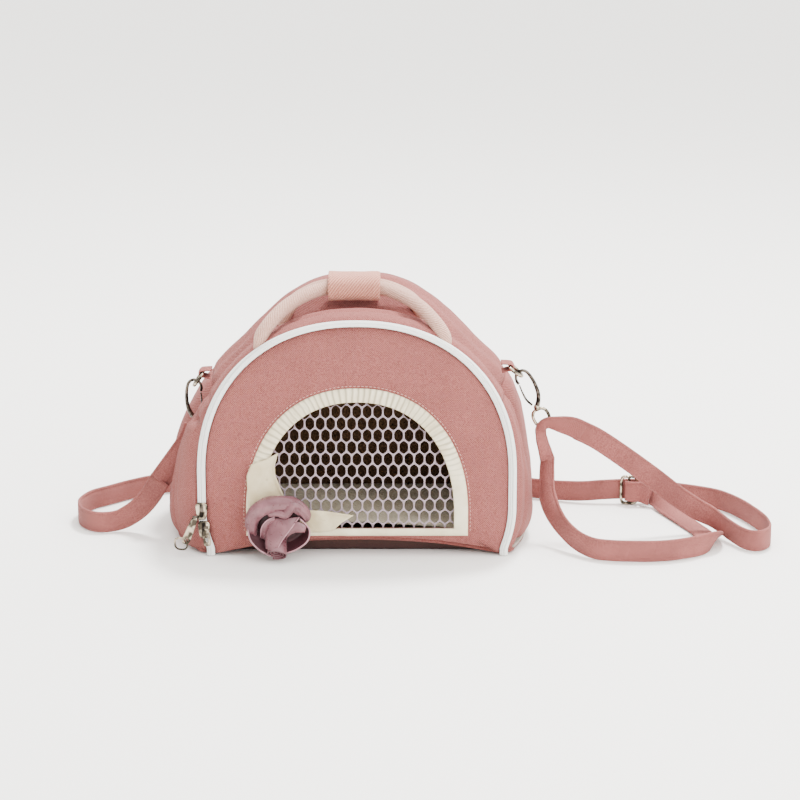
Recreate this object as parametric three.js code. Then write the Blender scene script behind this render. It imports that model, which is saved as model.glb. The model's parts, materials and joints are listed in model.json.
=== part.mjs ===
// A small dome-shaped pet carrier bag: canvas body, zipped front door with a mesh window, two rolled
// handles in one wrap, D-rings, snap hooks and a detachable flat shoulder strap lying on the surface.
// Millimetres, +Z up, the door facing -Y, the origin under the middle of the bag on its base.
import * as THREE from "three";

// Body
const DEPTH = 132;
const ROSE_DEPTH = 20;
const FRONT_Y = (ROSE_DEPTH - DEPTH) / 2;
const GAP = 0.3;
const CANVAS = 3.2;
const LINING = 1.2;
const FRONT = { half: 108, legs: 57, top: 163 };
const MIDDLE_SWELL = 15;
const MIDDLE_LEGS = 18;
const BACK_GROWTH = { half: 3, top: 6 };
const ARCH_POWER = 2.2;
const LEG_SHARE = 0.3;
const VALLEY = { at: 47, depth: 11, width: 16 };
const RIDGE = { at: 88, height: 9, width: 30 };
const BODY_START = 7.2;
const SEAM = 0.28;
const SEAM_GAP = 0.0012;
const LINING_GAP = 0.8;
const FOOT_Z = 3.3;

// Base and floor
const BASE_THICK = 3;
const FRONT_RISE = 11;
const RISE_LENGTH = 34;
const CORNER = 18;
const BOARD_THICK = 2;
const PAD_THICK = 12;

// Door and window
const DOOR = { half: 99.5, legs: 57, top: 156.5, thick: 5, foot: 3.6, rise: 9.9 };
const DOOR_LINING = 1.2;
const WINDOW = { half: 65.5, legs: 30, top: 108.5, sill: 20 };
const TRIM_WIDTH = 9.5;
const TRIM_SILL = 5;
const TRIM_THICK = 1.2;
const MESH_LAP = 4;
const MESH_THICK = 1;

// Zip
const ZIP = { half: 105, legs: 57, top: 162, width: 4.6, thick: 2 };
const SLIDER = { width: 8.6, height: 12, thick: 2.6, foot: 0.7, crown: 0.6, shoulder: 0.5 };
const UPPER_SLIDER_Z = 32.5;
const LOWER_SLIDER_Z = 19.5;
const TAB_NECK = 0.6;
const ZIP_FRONT = 1;
const UPPER_TAB = { aside: -5.4, top: 28.5, length: 20, width: 6.4, thick: 1.2, hole: 2.2 };
const LOWER_TAB = { aside: 2.4, top: 21, length: 14, width: 5, thick: 1.2, hole: 1.2 };
const PULL_RING = { radius: 3.8, wire: 0.5, lean: 35 };

// Rose and leaves
const ROSE = { x: -52, z: 25, outer: 21.5, middle: 12.6, inner: 6, height: 12, budSunk: 1 };
const PETAL_CUP = 0.35;
const LEAF_THICK = 1.2;
const LEAVES = {
  leaf_upper: [[-72, 38], [-75, 60], [-76, 80], [-66, 74], [-56, 72], [-50, 60], [-53, 44], [-60, 36]],
  leaf_lower: [[-36, 20], [-16, 18.5], [-10, 22], [-2, 30.5], [-18, 32.5], [-34, 33.5]],
};

// Handles
const HANDLE_RADIUS = 5.5;
// Points of half of each handle: x from the middle, y behind the front plane, z.
const FRONT_HANDLE = [[0, 42, 177.5], [19, 41.6, 177.2], [36, 30, 174], [50, 19, 167.5], [60, 10, 158.5], [63, 7, 154.5]];
const REAR_HANDLE = [[0, 54, 177.5], [18, 54, 177], [32, 55, 174.5], [45, 57, 169.5], [53, 59, 164]];
const WRAP = { length: 35, y: 48, z: 177.5, depth: 29, height: 19, wall: 2, corner: 7 };

// Rings, hooks and strap
const TAB = { y: 50, width: 13, outer: 3, inner: 1.2, reach: 5 };
const TAB_PLACE = { left: { x: 106.5, z: 116.5, droop: 55 }, right: { x: 104.5, z: 121, droop: 40 } };
const RING_WIRE = 1.3;
const RING = { half: 8, reach: 11 };
const HOOK_TILT = 25;
const HOOK = { bow: 5.8, mouth: 3.2, seat: 1.55, tip: 1.5, spine: 20, base: 25, thick: 3.4 };
const HOOK_FOOT = { left: -2.4, right: 2.6, rise: 2.2, throat: -0.6, throatDrop: 2.6, innerDrop: 2 };
const GATE = { x: -4.2, drop: 20, eye: 1.4, clear: 0.2, thick: 2.6 };
const EYE = { inner: 12.4, height: 6.4, wire: 1.15 };
const STRAP_WIDTH = 15;
const STRAP_THICK = 2;
const ADJUSTER = { x: 196, y: 116, z: 11.2, long: 13.5, tall: 22, bar: 2.3, thick: 2.2, slot: 16.4 };
const ADJUSTER_CORNER = 2;
const SLOT_CORNER = 0.6;

// Strap routes: x, y behind the front plane, z, and how far the strap leans from standing on edge.
const STRAP_STEP = 9;
const STRAP_LONG = [
  [-138, 48, 40, 0], [-145, 50, 28, 0], [-154, 52, 17.5, 0], [-166, 53, 9.5, 0], [-177, 50, 8, 0],
  [-188, 53, 8, 0], [-197, 66, 8, 0], [-199.5, 84, 8, 0], [-194, 101, 8, 0], [-183, 113, 8, 0],
  [-169, 127, 8, 0], [-151, 140, 8, 0], [-120, 148, 8, 0], [-60, 148, 8, 0], [0, 145, 8, 0], [60, 142, 8, 0],
  [105, 138, 8, 0], [137, 127, 8, 0], [160, 120, 9, 0], [178, 118.5, 10.6, 0], [196, 118.5, 11.2, 0],
  [214, 118.5, 10.6, 0], [232, 117, 8.5, 0], [246, 112, 8, 0], [260, 102, 8, 0], [271, 84, 8, 0],
  [279, 62, 8, 0], [284, 40, 8, 0], [283, 20, 8, 0], [274, 9, 8, 0], [265, 13, 8.2, 0], [257, 28, 9.5, 0],
  [248, 46, 12.5, 0], [236, 50, 18, 0], [220, 50, 29, 0], [205, 49, 41, 0], [185, 48, 56, 0], [166, 48, 69, 0],
  [152, 48.5, 76, 0],
];
const STRAP_LOOP = [
  [131, 42, 58, 0], [130.5, 38, 45, 0], [131, 31, 32, 0], [137, 20, 20, 0], [147, 6, 11.5, 0], [158, -5, 8.2, 0],
  [170, -11, 8, 0], [190, -13, 8, 0], [206, -12, 8, 0], [221, -7, 8, 0], [234, 1, 8, 0], [243, 10, 7.9, 20],
  [245.5, 22, 5.4, 55], [243, 36, 1.7, 90], [238.5, 52, 1.5, 90], [232, 70, 1.7, 90], [226, 86, 3.2, 80],
  [220, 99, 6, 55], [214, 109, 9, 20], [205, 113.5, 11, 0],
];
const END_LEFT = [[-128.6, 50, 66.6, 0], [-131.9, 49.2, 57, 0], [-136.8, 48.2, 43, 0]];
const FOLD_RIGHT = [[133, 50, 70, 0], [140, 49.5, 76, 0], [149, 49, 77, 0]];
const SEWN_END = [[197.5, 111.1, 11.2, 0], [204, 110.6, 11, -8], [211, 106.8, 9.6, -18]];

const carrier = new THREE.Group();
const COLOURS = {
  canvas: [0xc98f8a, 0.9, 0],
  lining: [0xd8cbb2, 0.95, 0],
  webbing: [0xefcdb9, 0.8, 0],
  ribbon: [0xefe6cf, 0.4, 0],
  satin: [0xb08896, 0.35, 0],
  zip: [0xf0efe6, 0.6, 0],
  mesh: [0xd0c4c9, 0.6, 0],
  metal: [0xb9b6ae, 0.25, 1],
  board: [0x6e5a48, 0.8, 0],
};

function add(name, colour, geometry, parent = carrier) {
  const [color, roughness, metalness] = COLOURS[colour];
  const mesh = new THREE.Mesh(geometry, new THREE.MeshStandardMaterial({ color, roughness, metalness }));
  mesh.name = name;
  parent.add(mesh);
  return mesh;
}

// A closed solid through rings of points: each ring has the same even number of points, and its first
// half runs beside its second half backwards, so that the two end rings close as strips.
function skin(rings, closed = false) {
  const count = rings[0].length;
  const positions = rings.flat().flatMap((p) => [p.x, p.y, p.z]);
  const index = [];
  const quad = (a, b, c, d) => index.push(a, b, c, a, c, d);
  const last = closed ? rings.length : rings.length - 1;
  for (let i = 0; i < last; i++) {
    const next = ((i + 1) % rings.length) * count;
    for (let j = 0; j < count; j++) {
      const k = (j + 1) % count;
      quad(i * count + j, i * count + k, next + k, next + j);
    }
  }
  const end = (rings.length - 1) * count;
  for (let j = 0; !closed && j < count / 2 - 1; j++) {
    quad(j, count - 1 - j, count - 2 - j, j + 1);
    quad(end + j, end + j + 1, end + count - 2 - j, end + count - 1 - j);
  }
  const geometry = new THREE.BufferGeometry();
  geometry.setAttribute("position", new THREE.Float32BufferAttribute(positions, 3));
  geometry.setIndex(signedVolume(positions, index) < 0 ? index.reverse() : index);
  geometry.computeVertexNormals();
  return geometry;
}

function signedVolume(positions, index) {
  const corner = (i) => new THREE.Vector3().fromArray(positions, 3 * index[i]);
  let sum = 0;
  for (let i = 0; i < index.length; i += 3) sum += corner(i).dot(corner(i + 1).cross(corner(i + 2)));
  return sum / 6;
}

const steps = (from, to, n) => Array.from({ length: n + 1 }, (_, i) => from + ((to - from) * i) / n);
const bump = (y, at, width) => Math.exp(-(((y - at) / width) ** 2));

// The arch that every cross-section follows. u runs from 0 at the left foot over the crown to 1 at the
// right foot, and inset moves the point inwards along the arch's normal.
function arch({ half, legs, top }, u, foot = 0, inset = 0) {
  const side = u < 0.5 ? -1 : 1;
  const along = 1 - Math.abs(2 * u - 1);
  if (along <= LEG_SHARE) {
    return new THREE.Vector2(side * (half - inset), foot + ((legs - foot) * along) / LEG_SHARE);
  }
  const angle = (((along - LEG_SHARE) / (1 - LEG_SHARE)) * Math.PI) / 2;
  const c = Math.cos(angle);
  const s = Math.sin(angle);
  const x = Math.max(c, 1e-9) ** (2 / ARCH_POWER);
  const z = s ** (2 / ARCH_POWER);
  const normal = new THREE.Vector2(x ** (ARCH_POWER - 1) / half, z ** (ARCH_POWER - 1) / (top - legs)).normalize();
  return new THREE.Vector2(side * (half * x - inset * normal.x), legs + (top - legs) * z - inset * normal.y);
}

// The body's cross-section at a distance behind the front plane.
function section(y) {
  const t = y / DEPTH;
  const swell = Math.sin(Math.PI * t) ** 0.7;
  const crown = RIDGE.height * bump(y, RIDGE.at, RIDGE.width) - VALLEY.depth * bump(y, VALLEY.at, VALLEY.width);
  return {
    half: FRONT.half + BACK_GROWTH.half * t + MIDDLE_SWELL * swell,
    legs: FRONT.legs + (MIDDLE_LEGS - FRONT.legs) * swell,
    top: FRONT.top + BACK_GROWTH.top * Math.min(1, (5 * y) / DEPTH) + crown,
  };
}

function bodyPoint(u, y, inset, foot = FOOT_Z) {
  const p = arch(section(y), u, foot, inset);
  return new THREE.Vector3(p.x, FRONT_Y + y, p.y);
}

// A curved wall between two insets of the body's surface, over the given stations u and y.
function wall(us, ys, inner, outer) {
  return skin(
    ys.map((y) => [
      ...us.map((u) => bodyPoint(u, y, inner)),
      ...us.toReversed().map((u) => bodyPoint(u, y, outer)),
    ]),
  );
}

const ARCH_STEPS = 28;
const archPoints = (size, foot, grow = 0, n = ARCH_STEPS) =>
  steps(1, 0, n).map((u) => arch(size, u, foot, -grow));

// A flat plate in the XZ plane, its front face at the given distance behind the front plane.
function plate(shape, front, thick) {
  const geometry = new THREE.ExtrudeGeometry(shape, { depth: thick, bevelEnabled: false, curveSegments: 8 });
  return geometry.rotateX(Math.PI / 2).translate(0, FRONT_Y + front + thick, 0);
}

function archStrip(size, foot, inner, outer) {
  return new THREE.Shape([...archPoints(size, foot, outer), ...archPoints(size, foot, inner).reverse()]);
}

function windowShape(grow, drop = grow) {
  return archPoints(WINDOW, WINDOW.sill - drop, grow, 20);
}

// The three canvas panels meet at the two shoulder seams, and the lining runs under all of them.
function buildBody() {
  const left = steps(0, SEAM, 7);
  const top = steps(SEAM, 1 - SEAM, 18);
  const right = steps(1 - SEAM, 1, 7);
  const ys = steps(BODY_START, DEPTH - CANVAS - GAP, 14);
  const open = (us, first, last) => [us[0] + first * SEAM_GAP, ...us.slice(1, -1), us.at(-1) - last * SEAM_GAP];
  add("side_panel_left", "canvas", wall(open(left, 0, 1), ys, 0, CANVAS));
  add("top_panel", "canvas", wall(open(top, 1, 1), ys, 0, CANVAS));
  add("side_panel_right", "canvas", wall(open(right, 1, 0), ys, 0, CANVAS));
  const liningYs = [...ys.slice(0, -1), ys.at(-1) - LINING - GAP];
  const us = [...left, ...top.slice(1), ...right.slice(1)];
  add("lining", "lining", wall(us, liningYs, CANVAS + LINING_GAP, CANVAS + LINING_GAP + LINING));
  const back = section(DEPTH - CANVAS);
  add("back_panel", "canvas", plate(new THREE.Shape(archPoints(back, FOOT_Z)), DEPTH - CANVAS, CANVAS));
  const behind = DEPTH - CANVAS - GAP - LINING;
  const backLining = new THREE.Shape(archPoints(section(behind), FOOT_Z, -CANVAS - 2 * LINING_GAP));
  add("back_lining", "lining", plate(backLining, behind, LINING));
}

// How far the base is raised: it bows up along its front edge, between the two front corners.
function baseRise(x, y) {
  const back = Math.max(0, 1 - (y - BODY_START) / RISE_LENGTH);
  const across = Math.max(0, 1 - (x / (section(y).half - CORNER)) ** 2);
  return FRONT_RISE * across * back ** 2;
}

// A layer of the floor that follows the base's rise and stops short of the walls by a margin.
function slab(margin, low, thick) {
  const ys = steps(BODY_START, DEPTH, 16);
  ys[ys.length - 1] -= margin;
  return skin(
    ys.map((y) => {
      const half = section(y).half - margin;
      const xs = steps(-half, half, 12);
      const layer = (z) => xs.map((x) => new THREE.Vector3(x, FRONT_Y + y, z + baseRise(x, y)));
      return [...layer(low + thick), ...layer(low).reverse()];
    }),
  );
}

function buildBase() {
  const inside = CANVAS + LINING_GAP + LINING + 2 * GAP;
  const board = BASE_THICK + 3 * GAP;
  add("base_panel", "canvas", slab(0, 0, BASE_THICK));
  add("base_board", "board", slab(inside, board, BOARD_THICK));
  add("floor_pad", "lining", slab(inside + 1, board + BOARD_THICK + 3 * GAP, PAD_THICK));
}

function doorShape() {
  const bottom = steps(-DOOR.half, DOOR.half, 10).slice(1, -1);
  const rise = (x) => DOOR.foot + DOOR.rise * (1 - (x / DOOR.half) ** 2);
  const shape = new THREE.Shape([...archPoints(DOOR, DOOR.foot), ...bottom.map((x) => new THREE.Vector2(x, rise(x)))]);
  shape.holes.push(new THREE.Path(windowShape(0)));
  return shape;
}

function buildDoor() {
  add("door_panel", "canvas", plate(doorShape(), 0, DOOR.thick - MESH_THICK - 2 * GAP));
  const mesh = new THREE.Shape(windowShape(MESH_LAP));
  const meshFront = DOOR.thick - MESH_THICK - GAP;
  add("window_mesh", "mesh", plate(mesh, meshFront, MESH_THICK));
  add("door_lining", "lining", plate(doorShape(), DOOR.thick, DOOR_LINING));
  const trim = new THREE.Shape(windowShape(TRIM_WIDTH, TRIM_SILL));
  trim.holes.push(new THREE.Path(windowShape(0)));
  add("window_trim", "ribbon", plate(trim, -GAP - TRIM_THICK, TRIM_THICK));
}

// The closed zip: one half is sewn to the door and one to the body, edge to edge.
function buildZip() {
  const middle = GAP / 2;
  add("zip_tape_door", "zip", plate(archStrip(ZIP, FOOT_Z, -ZIP.width, -middle), ZIP_FRONT, ZIP.thick));
  add("zip_tape_body", "zip", plate(archStrip(ZIP, FOOT_Z, middle, ZIP.width), ZIP_FRONT, ZIP.thick));
}

// A slider on the closed zip and its pull tab, which hangs down in front. Returns the tab's lower end.
function buildSlider(name, z, tab) {
  const front = ZIP_FRONT - GAP - SLIDER.thick;
  const w = SLIDER.width / 2;
  const h = SLIDER.height / 2;
  const body = new THREE.Shape();
  body.moveTo(-SLIDER.foot * w, -h).lineTo(SLIDER.foot * w, -h).lineTo(w, SLIDER.shoulder * h);
  body.lineTo(SLIDER.crown * w, h).lineTo(-SLIDER.crown * w, h).lineTo(-w, SLIDER.shoulder * h);
  add("slider_" + name, "metal", plate(body, front, SLIDER.thick).translate(-ZIP.half, 0, z));
  const half = tab.width / 2;
  const end = half - tab.length;
  const pull = new THREE.Shape();
  pull.moveTo(-TAB_NECK * half, 0).lineTo(-half, end);
  pull.absarc(0, end, half, Math.PI, 2 * Math.PI, false).lineTo(TAB_NECK * half, 0);
  pull.holes.push(new THREE.Path().absarc(0, end, tab.hole, 0, 2 * Math.PI, true));
  const place = [-ZIP.half + tab.aside, 0, tab.top];
  add("pull_tab_" + name, "metal", plate(pull, front - GAP - tab.thick, tab.thick).translate(...place));
}

function buildSliders() {
  buildSlider("upper", UPPER_SLIDER_Z, UPPER_TAB);
  buildSlider("lower", LOWER_SLIDER_Z, LOWER_TAB);
  const ring = new THREE.TorusGeometry(PULL_RING.radius, PULL_RING.wire, 6, 16);
  const lean = THREE.MathUtils.degToRad(PULL_RING.lean);
  const tabMiddle = FRONT_Y + ZIP_FRONT - 2 * GAP - SLIDER.thick - UPPER_TAB.thick / 2;
  const hole = UPPER_TAB.top - UPPER_TAB.length + UPPER_TAB.width / 2;
  const y = tabMiddle - PULL_RING.radius * Math.sin(lean);
  ring.rotateY(Math.PI / 2).translate(-ZIP.half + UPPER_TAB.aside, y, hole - PULL_RING.radius * Math.cos(lean));
  add("pull_ring", "metal", ring);
}

// A ring of petals round an axis along Y, from the trim's face outwards.
function petalRing(name, inner, outer, back, front) {
  const cup = (outer - inner) * PETAL_CUP;
  const profile = [
    [inner, back], [inner, front - cup], [outer - cup, front], [outer, front - cup],
    [outer, back + cup], [outer - cup, back], [inner, back],
  ].map(([r, h]) => new THREE.Vector2(r, -h));
  add(name, "satin", new THREE.LatheGeometry(profile, 20).translate(ROSE.x, FRONT_Y, ROSE.z));
}

function buildFlower() {
  const onTrim = GAP + TRIM_THICK + GAP;
  const onLeaf = onTrim + LEAF_THICK + GAP;
  petalRing("rose_outer_petals", ROSE.middle + GAP, ROSE.outer, onLeaf, onLeaf + ROSE.height);
  petalRing("rose_inner_petals", ROSE.inner + GAP, ROSE.middle, onLeaf, ROSE_DEPTH);
  petalRing("rose_bud", 0, ROSE.inner, onLeaf, ROSE_DEPTH - ROSE.budSunk);
  for (const [name, outline] of Object.entries(LEAVES)) {
    const shape = new THREE.Shape(outline.map(([x, z]) => new THREE.Vector2(x, z)));
    add(name, "ribbon", plate(shape, -onTrim - LEAF_THICK, LEAF_THICK));
  }
}

// A tube through points given from the crown outwards, mirrored to both sides.
function handleTube(name, half) {
  const mirrored = half.toReversed().map(([x, y, z]) => [-x, y, z]).slice(0, -1);
  const points = [...mirrored, ...half].map(([x, y, z]) => new THREE.Vector3(x, FRONT_Y + y, z));
  const circle = new THREE.Shape().absarc(0, 0, HANDLE_RADIUS, 0, 2 * Math.PI, false);
  const extrudePath = new THREE.CatmullRomCurve3(points);
  const geometry = new THREE.ExtrudeGeometry(circle, { extrudePath, steps: 26, curveSegments: 5 });
  add(name, "webbing", geometry);
}

function roundedBox(width, height, radius) {
  const w = width / 2 - radius;
  const h = height / 2 - radius;
  const corners = [[w, -h, -0.5], [w, h, 0], [-w, h, 0.5], [-w, -h, 1]];
  const shape = new THREE.Path();
  for (const [x, y, turn] of corners) {
    shape.absarc(x, y, radius, turn * Math.PI, (turn + 0.5) * Math.PI, false);
  }
  return shape.getPoints(4);
}

function ringShape(width, height, radius, wall) {
  const shape = new THREE.Shape(roundedBox(width, height, radius));
  shape.holes.push(new THREE.Path(roundedBox(width - 2 * wall, height - 2 * wall, radius - wall)));
  return shape;
}

function buildHandles() {
  handleTube("handle_front", FRONT_HANDLE);
  handleTube("handle_rear", REAR_HANDLE);
  const wrap = new THREE.ExtrudeGeometry(ringShape(WRAP.depth, WRAP.height, WRAP.corner, WRAP.wall), {
    depth: WRAP.length, bevelEnabled: false,
  });
  wrap.translate(0, 0, -WRAP.length / 2).rotateX(Math.PI / 2).rotateZ(Math.PI / 2);
  add("handle_wrap", "webbing", wrap.translate(0, FRONT_Y + WRAP.y, WRAP.z));
}

// A flat piece in the XZ plane of a side group, centred on its thickness.
function hardware(name, shape, thick, parent, colour = "metal") {
  const geometry = new THREE.ExtrudeGeometry(shape, { depth: thick, bevelEnabled: false, curveSegments: 6 });
  add(name, colour, geometry.translate(0, 0, -thick / 2).rotateX(Math.PI / 2), parent);
}

function buildSide(name, side) {
  const group = new THREE.Group();
  group.scale.x = side;
  const { x, z, droop: degrees } = TAB_PLACE[name];
  const droop = THREE.MathUtils.degToRad(degrees);
  group.position.set(side * x, FRONT_Y + TAB.y, z);
  carrier.add(group);

  const loop = new THREE.Shape().moveTo(-TAB.reach, -TAB.inner);
  loop.lineTo(-TAB.inner, -TAB.outer).absarc(0, 0, TAB.outer, -Math.PI / 2, Math.PI / 2, false);
  loop.lineTo(-TAB.inner, TAB.outer).lineTo(-TAB.reach, TAB.inner);
  loop.holes.push(new THREE.Path().absarc(0, 0, RING_WIRE + GAP, 0, 2 * Math.PI, true));
  hardware("ring_tab_" + name, loop, TAB.width, group, "canvas");

  add("d_ring_" + name, "metal", dRing().rotateY(droop), group);

  const hook = new THREE.Group();
  hook.rotation.y = -THREE.MathUtils.degToRad(HOOK_TILT);
  hook.position.set(RING.reach * Math.cos(droop), 0, -RING.reach * Math.sin(droop));
  group.add(hook);
  hardware("hook_" + name, hookShape(), HOOK.thick, hook);
  hardware("hook_gate_" + name, gateShape(), GATE.thick, hook);
  const eye = ringShape(EYE.inner + 4 * EYE.wire, EYE.height + 4 * EYE.wire, 3, 2 * EYE.wire);
  const drop = HOOK.base + GAP + EYE.height / 2 + 2 * EYE.wire;
  const post = new THREE.ExtrudeGeometry(eye, { depth: 2 * EYE.wire, bevelEnabled: false });
  add("hook_eye_" + name, "metal", post.translate(0, 0, -EYE.wire).rotateX(Math.PI / 2).translate(0, 0, -drop), hook);
}

// A D-shaped ring: a bar along Y at the origin and a bow that reaches out along X.
function dRing() {
  const line = [];
  for (const a of steps(-90, 90, 12)) {
    const r = THREE.MathUtils.degToRad(a);
    line.push(new THREE.Vector3(RING.reach * Math.cos(r) ** 0.8, RING.half * Math.sin(r), 0));
  }
  for (const y of steps(RING.half, -RING.half, 4).slice(1, -1)) line.push(new THREE.Vector3(0, y, 0));
  const middle = new THREE.Vector3(RING.reach / 3, 0, 0);
  const up = new THREE.Vector3(0, 0, 1);
  const rings = line.map((p, i) => {
    const ahead = line[(i + 1) % line.length].clone().sub(line.at(i - 1)).normalize();
    const out = new THREE.Vector3().crossVectors(ahead, up).normalize();
    if (out.dot(p.clone().sub(middle)) < 0) out.negate();
    return steps(0, 2 * Math.PI, 8).slice(0, -1).map((a) =>
      p.clone().addScaledVector(out, RING_WIRE * Math.cos(a)).addScaledVector(up, RING_WIRE * Math.sin(a)));
  });
  return skin(rings, true);
}

// The hook's frame: a bow round the D-ring's wire, a spine on the outer side and a base.
function hookShape() {
  const { bow, mouth, base, spine, seat, tip } = HOOK;
  const { left, right, rise, throat, throatDrop, innerDrop } = HOOK_FOOT;
  const shape = new THREE.Shape().moveTo(left, -base).lineTo(right, -base).lineTo(bow, -spine);
  shape.lineTo(bow, -seat).absarc(0, -seat, bow, 0, Math.PI, false).lineTo(-bow, -seat - tip);
  shape.lineTo(-mouth, -seat - tip).lineTo(-mouth, -seat);
  shape.absarc(0, -seat, mouth, Math.PI, 0, true).lineTo(mouth, innerDrop - spine);
  return shape.lineTo(throat, -spine - throatDrop).lineTo(left, rise - base);
}

// The spring gate that closes the hook's mouth on the inner side.
function gateShape() {
  const { bow, mouth, spine, seat, tip } = HOOK;
  const top = -seat - tip - GAP;
  const shape = new THREE.Shape().moveTo(GATE.clear - bow, top).lineTo(GATE.clear - bow, -spine);
  shape.absarc(GATE.x, -GATE.drop, GATE.eye, Math.PI, 1.9 * Math.PI, false);
  return shape.lineTo(-mouth - GATE.clear, top);
}

// A flat strap through route points [x, y behind the front, z, lean], lean 0 standing on edge and 90
// lying flat, with more steps where it turns.
function strap(name, route) {
  const curve = new THREE.CatmullRomCurve3(route.map(([x, y, z]) => new THREE.Vector3(x, FRONT_Y + y, z)));
  const lean = new THREE.CatmullRomCurve3(route.map((p, i) => new THREE.Vector3(i, p[3], 0)));
  const count = Math.round(curve.getLength() / STRAP_STEP);
  add(name, "canvas", skin(steps(0, 1, count).map((t) => {
    const p = curve.getPoint(t);
    const side = curve.getTangent(t).cross(new THREE.Vector3(0, 0, 1)).normalize();
    const angle = THREE.MathUtils.degToRad(lean.getPoint(t).y);
    const across = new THREE.Vector3(0, 0, Math.cos(angle)).addScaledVector(side, Math.sin(angle));
    const normal = curve.getTangent(t).cross(across).normalize();
    const corner = (a, b) => p.clone().addScaledVector(across, (a * STRAP_WIDTH) / 2)
      .addScaledVector(normal, (b * STRAP_THICK) / 2);
    return [corner(-1, 1), corner(1, 1), corner(1, -1), corner(-1, -1)];
  })));
}

function buildStrap() {
  strap("strap_long", STRAP_LONG);
  strap("strap_loop", STRAP_LOOP);
  strap("strap_end_left", END_LEFT);
  strap("strap_fold_right", FOLD_RIGHT);
  strap("strap_sewn_end", SEWN_END);
  const frame = new THREE.Shape(roundedBox(ADJUSTER.long, ADJUSTER.tall, ADJUSTER_CORNER));
  const slotWide = (ADJUSTER.long - 3 * ADJUSTER.bar) / 2;
  for (const side of [-1, 1]) {
    const x = (side * (slotWide + ADJUSTER.bar)) / 2;
    frame.holes.push(new THREE.Path(roundedBox(slotWide, ADJUSTER.slot, SLOT_CORNER).map((p) => p.clone().setX(p.x + x))));
  }
  const front = ADJUSTER.y - ADJUSTER.thick / 2;
  add("adjuster", "metal", plate(frame, front, ADJUSTER.thick).translate(ADJUSTER.x, 0, ADJUSTER.z));
}

buildBody();
buildBase();
buildDoor();
buildZip();
buildSliders();
buildFlower();
buildHandles();
buildSide("left", -1);
buildSide("right", 1);
buildStrap();

export default carrier;
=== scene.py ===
# A small pink pet carrier bag with a mesh window, a satin rose, rolled handles and a hooked-on strap.
# Shapes are worked out in millimetres as x, y behind the front plane and z, and placed by at().
import json
import math

import bpy
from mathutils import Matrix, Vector, noise

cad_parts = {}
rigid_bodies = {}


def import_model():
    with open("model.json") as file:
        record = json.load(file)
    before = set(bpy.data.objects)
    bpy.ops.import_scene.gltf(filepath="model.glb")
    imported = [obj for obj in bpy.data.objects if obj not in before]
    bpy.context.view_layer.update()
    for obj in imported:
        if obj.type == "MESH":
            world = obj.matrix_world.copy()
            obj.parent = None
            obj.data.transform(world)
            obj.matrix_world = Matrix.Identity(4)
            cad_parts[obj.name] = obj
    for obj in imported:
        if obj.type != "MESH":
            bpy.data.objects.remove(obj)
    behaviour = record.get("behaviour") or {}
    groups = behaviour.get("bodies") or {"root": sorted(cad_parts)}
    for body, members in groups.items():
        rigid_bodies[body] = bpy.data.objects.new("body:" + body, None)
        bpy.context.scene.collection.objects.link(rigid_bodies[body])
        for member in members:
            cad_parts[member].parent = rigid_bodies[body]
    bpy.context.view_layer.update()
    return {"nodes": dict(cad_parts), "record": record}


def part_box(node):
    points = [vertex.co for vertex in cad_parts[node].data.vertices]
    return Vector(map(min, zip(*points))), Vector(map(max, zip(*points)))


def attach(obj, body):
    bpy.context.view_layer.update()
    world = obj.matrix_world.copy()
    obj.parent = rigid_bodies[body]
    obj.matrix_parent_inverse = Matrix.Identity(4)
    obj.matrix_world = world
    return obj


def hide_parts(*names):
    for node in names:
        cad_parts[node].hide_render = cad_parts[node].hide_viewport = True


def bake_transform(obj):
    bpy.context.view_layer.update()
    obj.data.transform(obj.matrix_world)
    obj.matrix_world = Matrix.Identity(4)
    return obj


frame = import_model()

MM = 0.001
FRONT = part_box("door_panel")[0][1]


def size_of(node):
    low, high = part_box(node)
    return [v / MM for v in low], [v / MM for v in high]


DEPTH = size_of("back_panel")[1][1] - FRONT / MM
DOOR_HALF = size_of("door_panel")[1][0]
DOOR_TOP = size_of("door_panel")[1][2]
DOOR_FOOT = size_of("door_panel")[0][2]
ZIP_HALF = (size_of("zip_tape_door")[1][0] + size_of("zip_tape_body")[1][0]) / 2 - 2.3
ZIP_TOP = (size_of("zip_tape_door")[1][2] + size_of("zip_tape_body")[1][2]) / 2 - 2.3
FOOT = size_of("zip_tape_door")[0][2]
TRIM_HIGH = size_of("window_trim")[1]
ROSE_LOW, ROSE_HIGH = size_of("rose_outer_petals")
WRAP_LOW, WRAP_HIGH = size_of("handle_wrap")
PAD_LOW, PAD_HIGH = size_of("floor_pad")

# The body's cross-sections: the front arch as in the CAD model, and how it swells behind.
POWER = 2.2
FRONT_HALF = 108
FRONT_LEGS = 57
FRONT_TOP = 163
SWELL = 15
MIDDLE_LEGS = 18
CANVAS = 3
CORNER = {"tuck": 8, "height": 34, "straight": 6}
DOOR_OVERLAP = 3.2
VALLEY = {"at": 47, "depth": 11, "width": 16}
RIDGE = {"at": 88, "height": 9, "width": 30}
TRIM_WIDTH = 9.5

# The soft middle of the bag: half widths and heights of its section, from the crown to the foot.
SOFT_HALF = [(0, 181), (16, 180), (29, 177), (40, 172), (51, 165), (61, 156), (71, 146), (82, 134), (93, 123),
             (102, 112), (111, 97), (118, 80), (123, 60), (126, 40), (127, 22), (125, 10), (121, 3)]

# Seams and creases
SHOULDER_SEAM = 0.235
FRONT_STRIP = 20

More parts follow.
